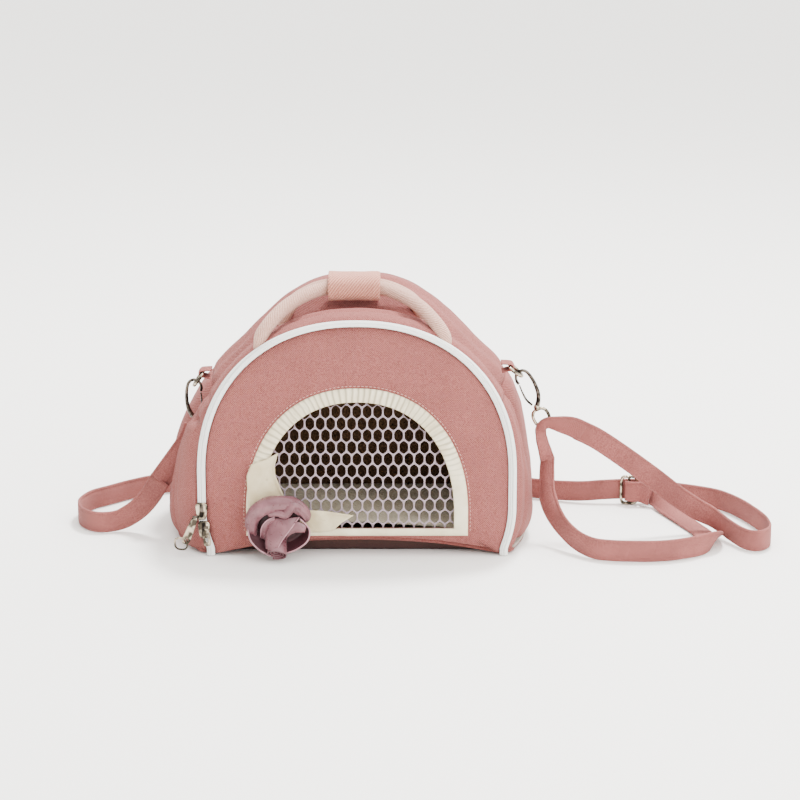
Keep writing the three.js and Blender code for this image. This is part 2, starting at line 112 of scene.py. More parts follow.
# Shoulder strap
STRAP_WIDTH = 15
STRAP_THICK = 2
STRAP_LONG = [
    (-138, 48, 40, 0), (-145, 50, 28, 0), (-154, 52, 17.5, 0), (-166, 53, 9.5, 0), (-177, 50, 8, 0),
    (-188, 53, 8, 0), (-197, 66, 8, 0), (-199.5, 84, 8, 0), (-194, 101, 8, 0), (-183, 113, 8, 0),
    (-169, 127, 8, 0), (-151, 140, 8, 0), (-120, 148, 8, 0), (-60, 148, 8, 0), (0, 145, 8, 0),
    (60, 142, 8, 0), (105, 138, 8, 0), (137, 127, 8, 0), (160, 120, 9, 0), (178, 118.5, 10.6, 0),
    (196, 118.5, 11.2, 0), (214, 118.5, 10.6, 0), (232, 117, 8.5, 0), (246, 112, 8, 0), (260, 102, 8, 0),
    (271, 84, 8, 0), (279, 62, 8, 0), (284, 40, 8, 0), (283, 20, 8, 0), (274, 9, 8, 0), (265, 13, 8.2, 0),
    (257, 28, 9.5, 0), (248, 46, 12.5, 0), (236, 50, 18, 0), (220, 50, 29, 0), (205, 49, 41, 0),
    (185, 48, 56, 0), (166, 48, 69, 0), (152, 48.5, 76, 0),
]
STRAP_LOOP = [
    (131, 42, 58, -42), (130.5, 38, 45, -38), (131, 31, 32, -26), (137, 20, 20, -8), (147, 6, 11.5, 0),
    (158, -5, 8.2, 0), (170, -11, 8, 0), (190, -13, 8, 0), (206, -12, 8, 0), (221, -7, 8, 0),
    (234, 1, 8, 0), (243, 10, 7.9, 20), (245.5, 22, 5.4, 55), (243, 36, 1.7, 90), (238.5, 52, 1.5, 90),
    (232, 70, 1.7, 90), (226, 86, 3.2, 80), (220, 99, 6, 55), (214, 109, 9, 20), (205, 113.5, 11, 0),
]
END_LEFT = [(-113.5, 51, 78, 0), (-117, 51, 69, 0), (-126, 50, 56, 0), (-138.5, 48, 39, 0)]
FOLD_RIGHT = [(156, 48.3, 74, 180), (149, 48.5, 77.5, 180), (140, 49, 79.5, 180), (131, 49, 80.5, 180),
              (126.5, 47.5, 77, 220), (127, 45.5, 70, 295), (129, 43.5, 63, 310), (131, 41.5, 56, 318)]
SEWN_END = [(193, 113.4, 11.2, 0), (197.5, 111.1, 11.2, 0), (204, 110.6, 11, -8), (211, 106.8, 9.6, -18)]

# Handles: half of each route, from the crown outwards.
HANDLE_RADIUS = 4.7
FRONT_HANDLE = [(0, 42, 177.5), (18, 41.6, 177.2), (32, 33, 174.5), (45, 22.5, 168.5), (55, 13, 160),
                (61, 9, 151.5), (63, 8, 143)]
REAR_HANDLE = [(0, 54, 177), (17, 54, 176.5), (29, 54, 173), (40, 55, 166), (47, 57, 156), (50, 58, 148)]

# Rings and hooks
RING_REACH = 11
RING_HALF = 8
RING_WIRE = 1.2
DROOP = {"left": 55, "right": 40}
HOOK_TILT = {"left": -2, "right": 25}
HOOK_WIRE = [(-4.4, -4.6), (-4.9, -1.6), (-3.4, 2.0), (0, 3.7), (3.6, 1.8), (5.3, -3.5), (5.7, -10),
             (4.9, -16.5), (2.6, -21.5), (0.2, -24.6)]
GATE_WIRE = [(-4.3, -5.6), (-4.6, -11), (-4.2, -17), (-2.2, -22)]
SWIVEL = [(0.2, -23), (0.1, -24.5), (0, -26), (0, -27.4)]
EYE_DROP = 32.6

# Rose: the thickness of its ribbon, and its middle.
RIBBON_THICK = 0.5
ROSE_X = (ROSE_LOW[0] + ROSE_HIGH[0]) / 2
ROSE_Z = (ROSE_LOW[2] + ROSE_HIGH[2]) / 2


def at(x, y, z):
    return Vector((x * MM, FRONT + y * MM, z * MM))


def joint_at(name):
    found = next(j for j in frame["record"]["behaviour"]["joints"] if j["name"] == name)
    x, y, z = found["pos_m"]
    return x / MM, (y - FRONT) / MM, z / MM


def steps(low, high, count):
    return [low + (high - low) * i / count for i in range(count + 1)]


def bump(v, centre, width):
    return math.exp(-(((v - centre) / width) ** 2))


def smooth(v, low, high):
    t = min(1.0, max(0.0, (v - low) / (high - low)))
    return t * t * (3 - 2 * t)


def boxy(v, power):
    """A sine or cosine raised to a power with its sign kept, which squares off a round outline."""
    return math.copysign(abs(v) ** power, v)


def ripple(p, size, seed=0.0):
    """Smooth noise from about -1 to 1 at a point in millimetres."""
    return noise.noise(Vector((p[0] / size + seed, p[1] / size, p[2] / size)))


# ---------------------------------------------------------------- meshes

def make(name, points, faces, material, corner_uvs=None):
    mesh = bpy.data.meshes.new(name)
    mesh.from_pydata([tuple(p) for p in points], [], faces)
    if corner_uvs:
        layer = mesh.uv_layers.new(name="UVMap")
        for data, uv in zip(layer.data, corner_uvs):
            data.uv = uv
    mesh.materials.append(material)
    for polygon in mesh.polygons:
        polygon.use_smooth = True
    piece = bpy.data.objects.new(name, mesh)
    bpy.context.scene.collection.objects.link(piece)
    return piece


def lengths(points):
    total = [0.0]
    for a, b in zip(points, points[1:]):
        total.append(total[-1] + (b - a).length)
    return total


def grid(name, rows, material, wrap=False, loop=False, caps=False):
    """A sheet through rows of points, with UVs in metres. wrap joins each row's two ends, loop joins
    the last row to the first, and caps closes the two ends of a tube."""
    high, wide = len(rows), len(rows[0])
    along = lengths([row[wide // 2] for row in rows] + ([rows[0][wide // 2]] if loop else []))
    middle = rows[high // 2]
    across = lengths(middle + ([middle[0]] if wrap else []))
    faces, uvs = [], []
    for i in range(high if loop else high - 1):
        for j in range(wide if wrap else wide - 1):
            i2, j2 = (i + 1) % high, (j + 1) % wide
            faces.append((i * wide + j, i * wide + j2, i2 * wide + j2, i2 * wide + j))
            for a, b in ((i, j), (i, j + 1), (i + 1, j + 1), (i + 1, j)):
                uvs.append((across[b], along[a]))
    if caps:
        for ring in (range(wide), range((high - 1) * wide, high * wide)):
            face = list(reversed(ring)) if ring.start == 0 else list(ring)
            faces.append(face)
            uvs += [(across[k % wide], 0) for k in face]
    return make(name, [p for row in rows for p in row], faces, material, uvs)


def flat_weave(piece):
    """Gives an upright sheet's cloth a straight weave: its UVs are its own x and z."""
    mesh = piece.data
    layer = mesh.uv_layers.active.data
    for loop in mesh.loops:
        co = mesh.vertices[loop.vertex_index].co
        layer[loop.index].uv = (co.x, co.z)
    return piece


def modify(piece, kind, **settings):
    modifier = piece.modifiers.new(kind.title(), kind)
    for key, value in settings.items():
        setattr(modifier, key, value)
    return piece


def solid(piece, thickness, offset=-1.0):
    """Gives a sheet a thickness, inwards at an offset of -1 and outwards at 1."""
    return modify(piece, "SOLIDIFY", thickness=thickness * MM, offset=offset)


def place(piece, body, slot, *nodes):
    """The piece rides on a body and stands for CAD nodes. slot is not used."""
    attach(piece, body)
    if nodes:
        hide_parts(*nodes)
    return piece


def bend(piece, node):
    """The piece stands for a CAD node, its transform baked into its mesh."""
    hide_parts(node)
    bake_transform(piece)


def curve_points(points, count):
    """A smooth curve through points, each of any number of coordinates, at evenly spaced stations."""
    n = len(points)
    dense = []
    for i in range(n - 1):
        p0, p1, p2, p3 = (points[max(0, min(n - 1, i + k))] for k in (-1, 0, 1, 2))
        for step in range(16):
            t = step / 16
            dense.append([0.5 * (2 * b + (c - a) * t + (2 * a - 5 * b + 4 * c - d) * t * t
                                 + (3 * b - a - 3 * c + d) * t ** 3) for a, b, c, d in zip(p0, p1, p2, p3)])
    dense.append(list(points[-1]))
    total = lengths([Vector((p + [0, 0, 0])[:3]) for p in dense])
    found, k = [], 0
    for want in steps(0, total[-1], count):
        while k < len(dense) - 2 and total[k + 1] < want:
            k += 1
        t = (want - total[k]) / max(1e-9, total[k + 1] - total[k])
        found.append([a + (b - a) * t for a, b in zip(dense[k], dense[k + 1])])
    return found


def tube(name, points, radius, material, sides=16, across=(0, 1, 0), loop=False):
    """A tube along points in millimetres. radius holds its two half widths, the first one towards
    across, or is a function that gives them for a share of the length."""
    rows = []
    count = len(points)
    for i, p in enumerate(points):
        if loop:
            ahead = points[(i + 1) % count] - points[i - 1]
        else:
            ahead = points[min(i + 1, count - 1)] - points[max(i - 1, 0)]
        up = Vector(across) - ahead * (Vector(across).dot(ahead) / ahead.dot(ahead))
        up.normalize()
        side = ahead.normalized().cross(up)
        a, b = radius(i / (count - 1)) if callable(radius) else radius
        turn = [2 * math.pi * k / sides for k in range(sides)]
        rows.append([at(*(p + up * (a * math.cos(w)) + side * (b * math.sin(w)))) for w in turn])
    return grid(name, rows, material, wrap=True, loop=loop, caps=not loop)


# ---------------------------------------------------------------- materials

def new_material(name, colour, roughness, metallic=0.0, sheen=0.0):
    material = bpy.data.materials.new(name)
    material.use_nodes = True
    shader = material.node_tree.nodes["Principled BSDF"]
    shader.inputs["Base Color"].default_value = (*colour, 1)
    shader.inputs["Roughness"].default_value = roughness
    shader.inputs["Metallic"].default_value = metallic
    shader.inputs["Sheen Weight"].default_value = sheen
    shader.inputs["Sheen Roughness"].default_value = 0.5
    return material, shader


class Graph:
    """Short calls for making a material's nodes and links."""

    def __init__(self, material):
        self.nodes = material.node_tree.nodes
        self.links = material.node_tree.links

    def node(self, kind, inputs=(), **settings):
        made = self.nodes.new("ShaderNode" + kind)
        for key, value in settings.items():
            setattr(made, key, value)
        for key, value in dict(inputs).items():
            self.put(made.inputs[key], value)
        return made

    def put(self, socket, value):
        if isinstance(value, bpy.types.NodeSocket):
            self.links.new(value, socket)
        else:
            socket.default_value = value

    def math(self, operation, a, b=0.0):
        return self.node("Math", {0: a, 1: b}, operation=operation).outputs[0]

    def mix(self, factor, a, b):
        made = self.node("MixRGB", {"Fac": factor})
        for key, value in (("Color1", a), ("Color2", b)):
            self.put(made.inputs[key], value if isinstance(value, bpy.types.NodeSocket) else (*value, 1))
        return made.outputs[0]

    def noise(self, scale, detail=3.0):
        coordinates = self.node("TexCoord").outputs["Object"]
        noise = self.node("TexNoise", {"Vector": coordinates, "Scale": scale, "Detail": detail})
        return noise.outputs["Fac"]

    def fit(self, value, low, high, to_low=0.0, to_high=1.0):
        """A value's range mapped to another one."""
        return self.node("MapRange", {"Value": value, "From Min": low, "From Max": high,
                                      "To Min": to_low, "To Max": to_high}).outputs[0]

    def bump(self, shader, height, strength, distance):
        made = self.node("Bump", {"Height": height, "Strength": strength, "Distance": distance})
        self.links.new(made.outputs[0], shader.inputs["Normal"])


def woven(name, light, dark, period, sheen=0.15, twill=0.0, relief=0.5, blotch=0.12):
    """Woven cloth: threads of a period in millimetres along the UV map, slanted by twill, with
    blotches and loose fibres."""
    material, shader = new_material(name, light, 0.9, sheen=sheen)
    g = Graph(material)
    uv = g.node("SeparateXYZ", {0: g.node("TexCoord").outputs["UV"]})
    turn = 2 * math.pi / (period * MM)
    u = g.math("MULTIPLY", uv.outputs[0], turn)
    v = g.math("MULTIPLY", uv.outputs[1], turn)
    slant = g.math("ADD", v, g.math("MULTIPLY", u, twill))
    threads = g.math("MULTIPLY", g.math("SINE", u), g.math("SINE", slant))
    if twill:
        threads = g.math("SINE", slant)
    fibres = g.noise(2600, 2)
    height = g.math("ADD", g.math("MULTIPLY", threads, 0.5), fibres)
    mottle = g.fit(g.noise(1500, 2), 0.34, 0.66)
    weave = g.math("ADD", g.math("MULTIPLY", mottle, 0.6), g.math("MULTIPLY", threads, 0.42))
    plain = g.mix(g.math("ADD", weave, 0.22), dark, light)
    wide = g.fit(g.noise(38, 4), 0.35, 0.7, 0.0, blotch)
    shade = [c * 0.62 for c in dark]
    g.put(shader.inputs["Base Color"], g.mix(wide, plain, shade))
    g.bump(shader, height, relief, 0.0005)
    return material


def satin(name, light, dark, roughness=0.34, sheen=0.4, relief=0.12, pleats=0.0):
    """Smooth ribbon: fine threads along it, slow changes of tone, and a soft gloss. pleats is the
    distance between small pleats above the ribbon's straight legs, in millimetres, whose grooves get
    painted shade."""
    material, shader = new_material(name, light, roughness, sheen=sheen)
    g = Graph(material)
    uv = g.node("SeparateXYZ", {0: g.node("TexCoord").outputs["UV"]})
    threads = g.math("SINE", g.math("MULTIPLY", uv.outputs[0], 2 * math.pi / (0.35 * MM)))
    colour = g.mix(g.fit(g.noise(90, 4), 0.3, 0.72), light, dark)
    height = g.math("ADD", g.math("MULTIPLY", threads, 0.3), g.noise(300, 3))
    if pleats:
        along = g.math("MULTIPLY", uv.outputs[1], 2 * math.pi / (pleats * MM))
        wave = g.math("SINE", g.math("ADD", along, g.math("MULTIPLY", g.noise(45, 2), 9)))
        place = g.node("SeparateXYZ", {0: g.node("TexCoord").outputs["Object"]})
        wave = g.math("MULTIPLY", wave, g.fit(place.outputs[2], 0.050, 0.075))
        # Painted shade: the pleats' grooves are darkened in the colour, above the straight legs.
        groove = g.fit(wave, 0.0, 1.0)
        colour = g.mix(g.math("MULTIPLY", groove, 0.75), colour, [c * 0.5 for c in dark])
        height = g.math("SUBTRACT", height, g.math("MULTIPLY", wave, 3))
    g.put(shader.inputs["Base Color"], colour)
    g.put(shader.inputs["Roughness"], g.fit(g.noise(400, 3), 0.0, 1.0, roughness - 0.06, roughness + 0.14))
    g.bump(shader, height, relief, 0.0003)
    return material


def nickel(name, colour, roughness):
    """Plated metal with fine scratches and duller patches."""
    material, shader = new_material(name, colour, roughness, metallic=1.0)
    g = Graph(material)
    g.put(shader.inputs["Roughness"], g.fit(g.noise(160, 4), 0.0, 1.0, roughness - 0.1, roughness + 0.18))
    dull, bright = [c * 0.3 for c in colour], [min(1, c * 2.6) for c in colour]
    g.put(shader.inputs["Base Color"], g.mix(g.fit(g.noise(230, 1), 0.42, 0.60), dull, bright))
    g.bump(shader, g.noise(2200, 2), 0.08, 0.0002)
    return material


def knit(name, light, dark):
    """The net's yarn: fine knitted stitches."""
    material, shader = new_material(name, light, 0.7, sheen=0.3)
    g = Graph(material)
    stitch = g.node("TexVoronoi", {"Vector": g.node("TexCoord").outputs["Object"], "Scale": 1500}).outputs[0]
    g.put(shader.inputs["Base Color"], g.mix(g.math("MULTIPLY", stitch, 1.2), light, dark))
    g.bump(shader, stitch, 0.4, 0.0003)
    return material


def plush(name, light, dark):
    """Short, uneven pile of the cabin's lining."""
    material, shader = new_material(name, light, 1.0, sheen=0.3)
    g = Graph(material)
    pile = g.math("ADD", g.noise(420, 5), g.math("MULTIPLY", g.noise(60, 3), 0.6))
    g.put(shader.inputs["Base Color"], g.mix(g.math("MULTIPLY", pile, 0.75), dark, light))
    g.bump(shader, pile, 0.9, 0.0015)
    return material


def painted(name, light, dark, scale, roughness, relief=0.2):
    """A matt surface with cloudy tone and a fine grain: the board and the studio floor."""
    material, shader = new_material(name, light, roughness)
    g = Graph(material)
    g.put(shader.inputs["Base Color"], g.mix(g.noise(scale, 4), light, dark))
    g.bump(shader, g.noise(scale * 40, 3), relief, 0.0002)
    return material


PINK = woven("pink_canvas", (0.42, 0.135, 0.115), (0.15, 0.031, 0.027), 1.5, sheen=0.02, relief=1.0)
STRAP_PINK = woven("strap_canvas", (0.38, 0.125, 0.106), (0.15, 0.034, 0.030), 1.2, sheen=0.02, blotch=0.4)
PEACH = woven("handle_webbing", (0.72, 0.46, 0.36), (0.44, 0.20, 0.14), 1.6, twill=1.0, relief=0.8,
              blotch=0.1)
WRAP_CLOTH = woven("wrap_cloth", (0.76, 0.36, 0.26), (0.42, 0.13, 0.085), 2.1, twill=0.8, relief=1.0)
TAPE = woven("zip_tape", (0.97, 0.97, 0.94), (0.86, 0.86, 0.82), 0.8, blotch=0.04)
# The leaves are the window's cream ribbon, coloured darker as painted shade.
LEAF_SHADED = satin("leaf_ribbon", (0.66, 0.57, 0.37), (0.48, 0.38, 0.21), roughness=0.4, sheen=0.06, relief=0.3)
PLEATED = satin("pleated_ribbon", (0.80, 0.72, 0.52), (0.62, 0.52, 0.33), roughness=0.36, sheen=0.08,
                pleats=4.4)
ROSE = satin("rose_satin", (0.22, 0.090, 0.105), (0.085, 0.022, 0.030), roughness=0.26, sheen=0.06)
# A lighter copy of the rose satin for the rolled rims: painted highlight.
ROSE_LIT_RIM = satin("rose_satin_painted_highlight", (0.42, 0.22, 0.25), (0.28, 0.12, 0.145), roughness=0.35, sheen=0.06)
# A near-black copy of the rose satin for its hollows: painted shade.
ROSE_SHADED = satin("rose_satin_painted_shade", (0.06, 0.014, 0.020), (0.025, 0.005, 0.008), roughness=0.5, sheen=0.01)
YARN = knit("net_yarn", (0.42, 0.34, 0.375), (0.20, 0.14, 0.165))
# The lining's colour is darkened well below the floor plush's: painted shade inside the cabin.
SHADED_LINING = plush("cabin_lining_painted_shade", (0.16, 0.085, 0.040), (0.05, 0.022, 0.008))
PAD = plush("floor_plush", (0.72, 0.60, 0.40), (0.42, 0.31, 0.17))
METAL = nickel("nickel", (0.185, 0.155, 0.115), 0.2)
DARK_METAL = nickel("worn_nickel", (0.045, 0.037, 0.03), 0.26)
THREAD = woven("pink_thread", (0.62, 0.33, 0.28), (0.44, 0.19, 0.16), 0.6, blotch=0.05)
# Near-black cloth for the painted shadow under the base's raised front edge.
SHADE = woven("painted_shadow_cloth", (0.060, 0.020, 0.016), (0.025, 0.008, 0.006), 1.2, sheen=0.0)
BOARD = painted("board", (0.30, 0.26, 0.22), (0.22, 0.19, 0.16), 30, 0.8)
FLOOR = painted("studio_floor", (0.92, 0.905, 0.875), (0.905, 0.89, 0.86), 1.5, 0.75, relief=0.02)


# ---------------------------------------------------------------- camera and light

PITCH = math.radians(15)
DISTANCE = 1467
TARGET = (29, 0, 110)
FOCAL_WIDTHS = 2.75
SKY = {"level": 1.05, "overhead": 4.0, "left": 0.5, "right": 1.5}
FLOOR_HALF = 30


def set_camera():
    data = bpy.data.cameras.new("camera")
    data.sensor_width = 36
    data.lens = FOCAL_WIDTHS * data.sensor_width
    camera = bpy.data.objects.new("camera", data)
    x, y, z = TARGET
    camera.location = at(x, y - DISTANCE * math.cos(PITCH), z + DISTANCE * math.sin(PITCH))
    camera.rotation_euler = (math.pi / 2 - PITCH, 0, 0)
    bpy.context.scene.collection.objects.link(camera)
    bpy.context.scene.camera = camera


def area_light(name, place_at, aim, size, power):
    data = bpy.data.lights.new(name, "AREA")
    data.shape = "DISK"
    data.size = size
    data.energy = power
    lamp = bpy.data.objects.new(name, data)
    lamp.location = place_at
    lamp.rotation_euler = (Vector(aim) - Vector(place_at)).to_track_quat("-Z", "Y").to_euler()
    bpy.context.scene.collection.objects.link(lamp)


def set_studio():
    world = bpy.data.worlds.new("studio")
    world.use_nodes = True
    background = world.node_tree.nodes["Background"]
    background.inputs["Color"].default_value = (1.0, 0.992, 0.97, 1)
    g = Graph(world)
    way = g.node("SeparateXYZ", {0: g.node("TexCoord").outputs["Generated"]})
    up = g.fit(way.outputs[2], 0.0, 0.9, SKY["level"], SKY["overhead"])
    right = g.fit(way.outputs[0], -1.0, 1.0, SKY["left"], SKY["right"])
    g.put(background.inputs["Strength"], g.math("MULTIPLY", up, right))
    bpy.context.scene.world = world
    area_light("key", (0.35, 0.5, 1.65), (0, 0, 0.05), 0.35, 62)
    area_light("fill", (0.62, -0.75, 0.5), (0, 0, 0.1), 0.3, 5)
    points = [Vector((FLOOR_HALF * x, FLOOR_HALF * y, 0)) for x, y in ((-1, -1), (1, -1), (1, 1), (-1, 1))]
    make("floor", points, [(0, 1, 2, 3)], FLOOR)


# ---------------------------------------------------------------- shoulder strap

def strap(name, route, step=3.0, width=lambda t: 1.0, wobble=0.25):
    """A folded and edge-stitched strap along its route. Returns the piece and its path."""
    count = round(sum((Vector(b[:3]) - Vector(a[:3])).length for a, b in zip(route, route[1:])) / step)
    stations = curve_points(route, count)
    path = [Vector(s[:3]) for s in stations]
    half, thick = STRAP_WIDTH / 2, STRAP_THICK / 2
    edge = [(-1, 0.35), (-0.93, 0.85), (-0.80, 0.98), (-0.75, 0.72), (-0.70, 0.98)]
    outline = edge + [(0, 1.05)] + [(-a, b) for a, b in reversed(edge)]
    outline += [(a, -b) for a, b in reversed(outline)]
    rows = []
    for i, station in enumerate(stations):
        ahead = (path[min(i + 1, count)] - path[max(i - 1, 0)]).normalized()
        side = ahead.cross(Vector((0, 0, 1))).normalized()
        angle = math.radians(station[3])
        across = Vector((0, 0, math.cos(angle))) + side * math.sin(angle)
        normal = ahead.cross(across).normalized()
        across = normal.cross(ahead).normalized()
        w = half * width(i / count)
        row = []
        for a, b in outline:
            shift = wobble * ripple((i * step + 40 * a, 0, 0), 14, len(name))
            row.append(at(*(path[i] + across * (a * w) + normal * (b * thick + shift))))
        rows.append(row)
    return grid(name, rows, STRAP_PINK, wrap=True, caps=True), [at(*p) for p in path]


def gathered(t):
    """The strap gathers as it folds through the hook's eye."""
    return 1 - 0.5 * bump(t, 0.55, 0.26) - 0.24 * smooth(t, 0.6, 0.95)


def opening_out(t):
    """The strap's narrow start widens after the hook's eye."""
    return 0.7 + 0.3 * smooth(t, 0, 0.16)


def build_strap():
    """The long run behind the bag, the loop in front of it and their three sewn or folded ends."""
    end_left, _ = strap("strap_end_sewn_left", END_LEFT, step=2)
    bend(end_left, "strap_end_left")
    fold, _ = strap("strap_fold_through_eye", FOLD_RIGHT, step=1.5, width=gathered, wobble=0.1)
    bend(fold, "strap_fold_right")
    sewn, _ = strap("strap_end_sewn_adjuster", SEWN_END, step=1.5, wobble=0.1)
    bend(sewn, "strap_sewn_end")
    long_part, path = strap("strap_long_run", STRAP_LONG)
    place(long_part, "bag", "strap_webbing", "strap_long")
    loop, path = strap("strap_front_loop", STRAP_LOOP, width=opening_out)
    place(loop, "bag", "strap_webbing", "strap_loop")


# ---------------------------------------------------------------- body

def arch(half, legs, top, foot, tucked=True):
    """The outline of a section as close-set points with outward normals: x, z, normal x, normal z.
    tucked draws its bottom corners in."""
    side = []
    for t in steps(0, 1, 24)[:-1]:
        side.append((half, foot + (legs - foot) * t, 1.0, 0.0))
    for angle in steps(0, math.pi / 2, 60):
        c = max(1e-9, math.cos(angle)) ** (2 / POWER)
        s = max(0.0, math.sin(angle)) ** (2 / POWER)
        n = Vector((c ** (POWER - 1) / half, s ** (POWER - 1) / (top - legs))).normalized()
        side.append((half * c, legs + (top - legs) * s, n.x, n.y))
    if tucked:
        side = [(x - corner_tuck(z), z, nx, nz) for x, z, nx, nz in side]
    left = [(-x, z, -nx, nz) for x, z, nx, nz in side]
    return left + side[-2::-1]


def corner_tuck(z):
    """How far the front's two bottom corners tuck in at a height. The hinge's height has none of the
    slope, so that the door's edge swings clear of the body's."""
    return CORNER["tuck"] * max(0.0, 1 - max(z, CORNER["straight"]) / CORNER["height"]) ** 2


def spaced(outline, count):
    """Points at even distances along an outline of tuples."""
    total = lengths([Vector(p[:2] + (0,)) for p in outline])
    found, k = [], 0
    for want in steps(0, total[-1], count):
        while k < len(outline) - 2 and total[k + 1] < want:
            k += 1
        t = (want - total[k]) / max(1e-9, total[k + 1] - total[k])
        found.append(tuple(a + (b - a) * t for a, b in zip(outline[k], outline[k + 1])))
    return found


def section(y):
    """The half width, leg height and crown height of the body's arch at a distance behind the front."""
    t = y / DEPTH
    swell = max(0.0, math.sin(math.pi * t)) ** 0.7
    crown = RIDGE["height"] * bump(y, RIDGE["at"], RIDGE["width"])
    crown -= VALLEY["depth"] * bump(y, VALLEY["at"], VALLEY["width"])
    half = FRONT_HALF + 3 * t + SWELL * swell
    legs = FRONT_LEGS + (MIDDLE_LEGS - FRONT_LEGS) * swell
    return half, legs, FRONT_TOP + 6 * min(1, 5 * t) + crown


def lopsided(x, y, z):
    """The soft bag sags to the left, its lower left side fuller than its right."""
    depth = max(0.0, math.sin(math.pi * min(1, max(0, y / DEPTH))))
    x -= 6 * depth * (1 - smooth(z, 60, 115))
    return x, y, z


STATIONS = 200
SLACK_FROM, SLACK_TO = 12, 52
BACK_TAPER_FROM = 98


def hoop(y):
    """The body's outline at a distance behind the front plane, as x, z and an outward normal: the
    door's firm arch in front, which slackens into the soft profile behind it."""
    firm = spaced(arch(*section(y), FOOT), STATIONS)
    right = curve_points([(x, z, 0) for x, z in SOFT_HALF], 60)
    line = [(-x, z) for x, z, _ in right[::-1]] + [(x, z) for x, z, _ in right[1:]]
    slack = spaced(line, STATIONS)
    share = smooth(y, SLACK_FROM, SLACK_TO)
    taper = smooth(y, BACK_TAPER_FROM, DEPTH)
    tall = (section(y)[2] - 9 * taper) / SOFT_HALF[0][1]
    narrow = 1 - 0.05 * taper
    points = []
    for (ax, az, _, _), (bx, bz) in zip(firm, slack):
        points.append(Vector(((ax + (bx - ax) * share) * narrow, az + (bz * tall - az) * share)))
    found = []
    for k, p in enumerate(points):
        ahead = points[min(k + 1, STATIONS)] - points[max(k - 1, 0)]
        n = Vector((-ahead.y, ahead.x)).normalized()
        found.append((p.x, p.y, n.x, n.y))
    return found


HOOPS = {}


def hoop_at(y):
    if y not in HOOPS:
        HOOPS[y] = hoop(y)
    return HOOPS[y]


def half_at(y):
    return hoop_at(y)[-1][0]


def body_relief(s, y, p):
    """How far the cloth stands out of its smooth shape, in millimetres."""
    out = 0.9 * ripple(p, 34) + 0.45 * ripple(p, 13, 5)
    side = smooth(abs(s - 0.5), 0.22, 0.30)
    out -= 1.6 * bump(y, FRONT_STRIP, 2.6)
    low = smooth(p[2], 20, 50) * (1 - smooth(p[2], 98, 118))
    out -= 10 * side * low * bump(y, 54, 8.5)
    if s < 0.5:
        out += 4 * side * (1 - smooth(p[2], 86, 91)) * bump(y, 17, 11)
        out -= 6 * side * (1 - smooth(p[2], 80, 95)) * bump(y, 30 + 5 * ripple((0, 0, p[2]), 50), 2.8)
        out -= 2.5 * side * bump(p[2], 93, 2.2) * bump(y, 17, 12)
    out += 1.5 * side * bump(y, 84, 20)
    out -= 1.2 * bump(abs(s - 0.5), 0.5 - SHOULDER_SEAM, 0.006)
    out += 0.6 * (1 - side) * math.sin(y / 2.6 + 2 * ripple(p, 40, 9)) * bump(y, 78, 20)
    return out


BODY_YS = [3.7, 4.6, 5.5, 6.5, 8] + [10 + 2.1 * i for i in range(58)] + [131.2]


def body_rows(inset, first, last, ys):
    """Rows of points across the body's arch, from a first to a last share of its length."""
    rows = []
    for y in ys:
        outline = hoop_at(y)
        start, end = round(first * STATIONS), round(last * STATIONS)
        row = []
        for k in range(start, end + 1):
            x, z, nx, nz = outline[k]
            edge = max(0.0, min(1, (y - 5.5) / 3, (DEPTH - y) / 4))
            out = -inset - 1.8 * (1 - edge) ** 2
            out += body_relief(k / STATIONS, y, (x, y, z)) * edge
            row.append(at(*lopsided(x + nx * out, y, max(z + nz * out, 0.6))))
        rows.append(row)
    return rows


def build_shell():
    """The two side panels, the roof between them, and the cabin's lining inside them."""
    seam = SHOULDER_SEAM
    left = grid("shell_left", body_rows(0, 0, seam, BODY_YS), PINK)
    top = grid("shell_top", body_rows(0, seam, 1 - seam, BODY_YS), PINK)
    right = grid("shell_right", body_rows(0, 1 - seam, 1, BODY_YS), PINK)
    for piece, node in ((left, "side_panel_left"), (top, "top_panel"), (right, "side_panel_right")):
        solid(piece, CANVAS - 0.4)
        place(piece, "bag", "canvas", node)
    inside = [y for y in BODY_YS if 9 < y < DEPTH - 6]
    inner = grid("cabin_sides", body_rows(CANVAS + 1.2, 0.004, 0.996, inside), SHADED_LINING)
    solid(inner, 1.0, offset=1.0)
    place(inner, "bag", "lining", "lining")


def fan(name, outline, centre, y_of, material):
    """A disc from an outline in to a centre, its y given by the share of the way in and the point."""
    rows = []
    for t in steps(0, 0.999, 14):
        row = []
        for x, z in outline:
            px, pz = x + (centre[0] - x) * t, z + (centre[1] - z) * t
            row.append(at(*lopsided(px, y_of(t, px, pz), pz)))
        rows.append(row)
    return flat_weave(grid(name, rows, material, wrap=True))


def closed_hoop(inset):
    """The body's outline at the back, closed by its straight foot, as x and z."""
    upper = [(x - nx * inset, z - nz * inset) for x, z, nx, nz in hoop_at(DEPTH - 3)]
    foot = FOOT - 1.5 + max(0, inset)
    upper = [(x, max(foot, z)) for x, z in upper]
    lower = [(x, foot) for x in steps(upper[-1][0], upper[0][0], 40)[1:-1]]
    return upper + lower


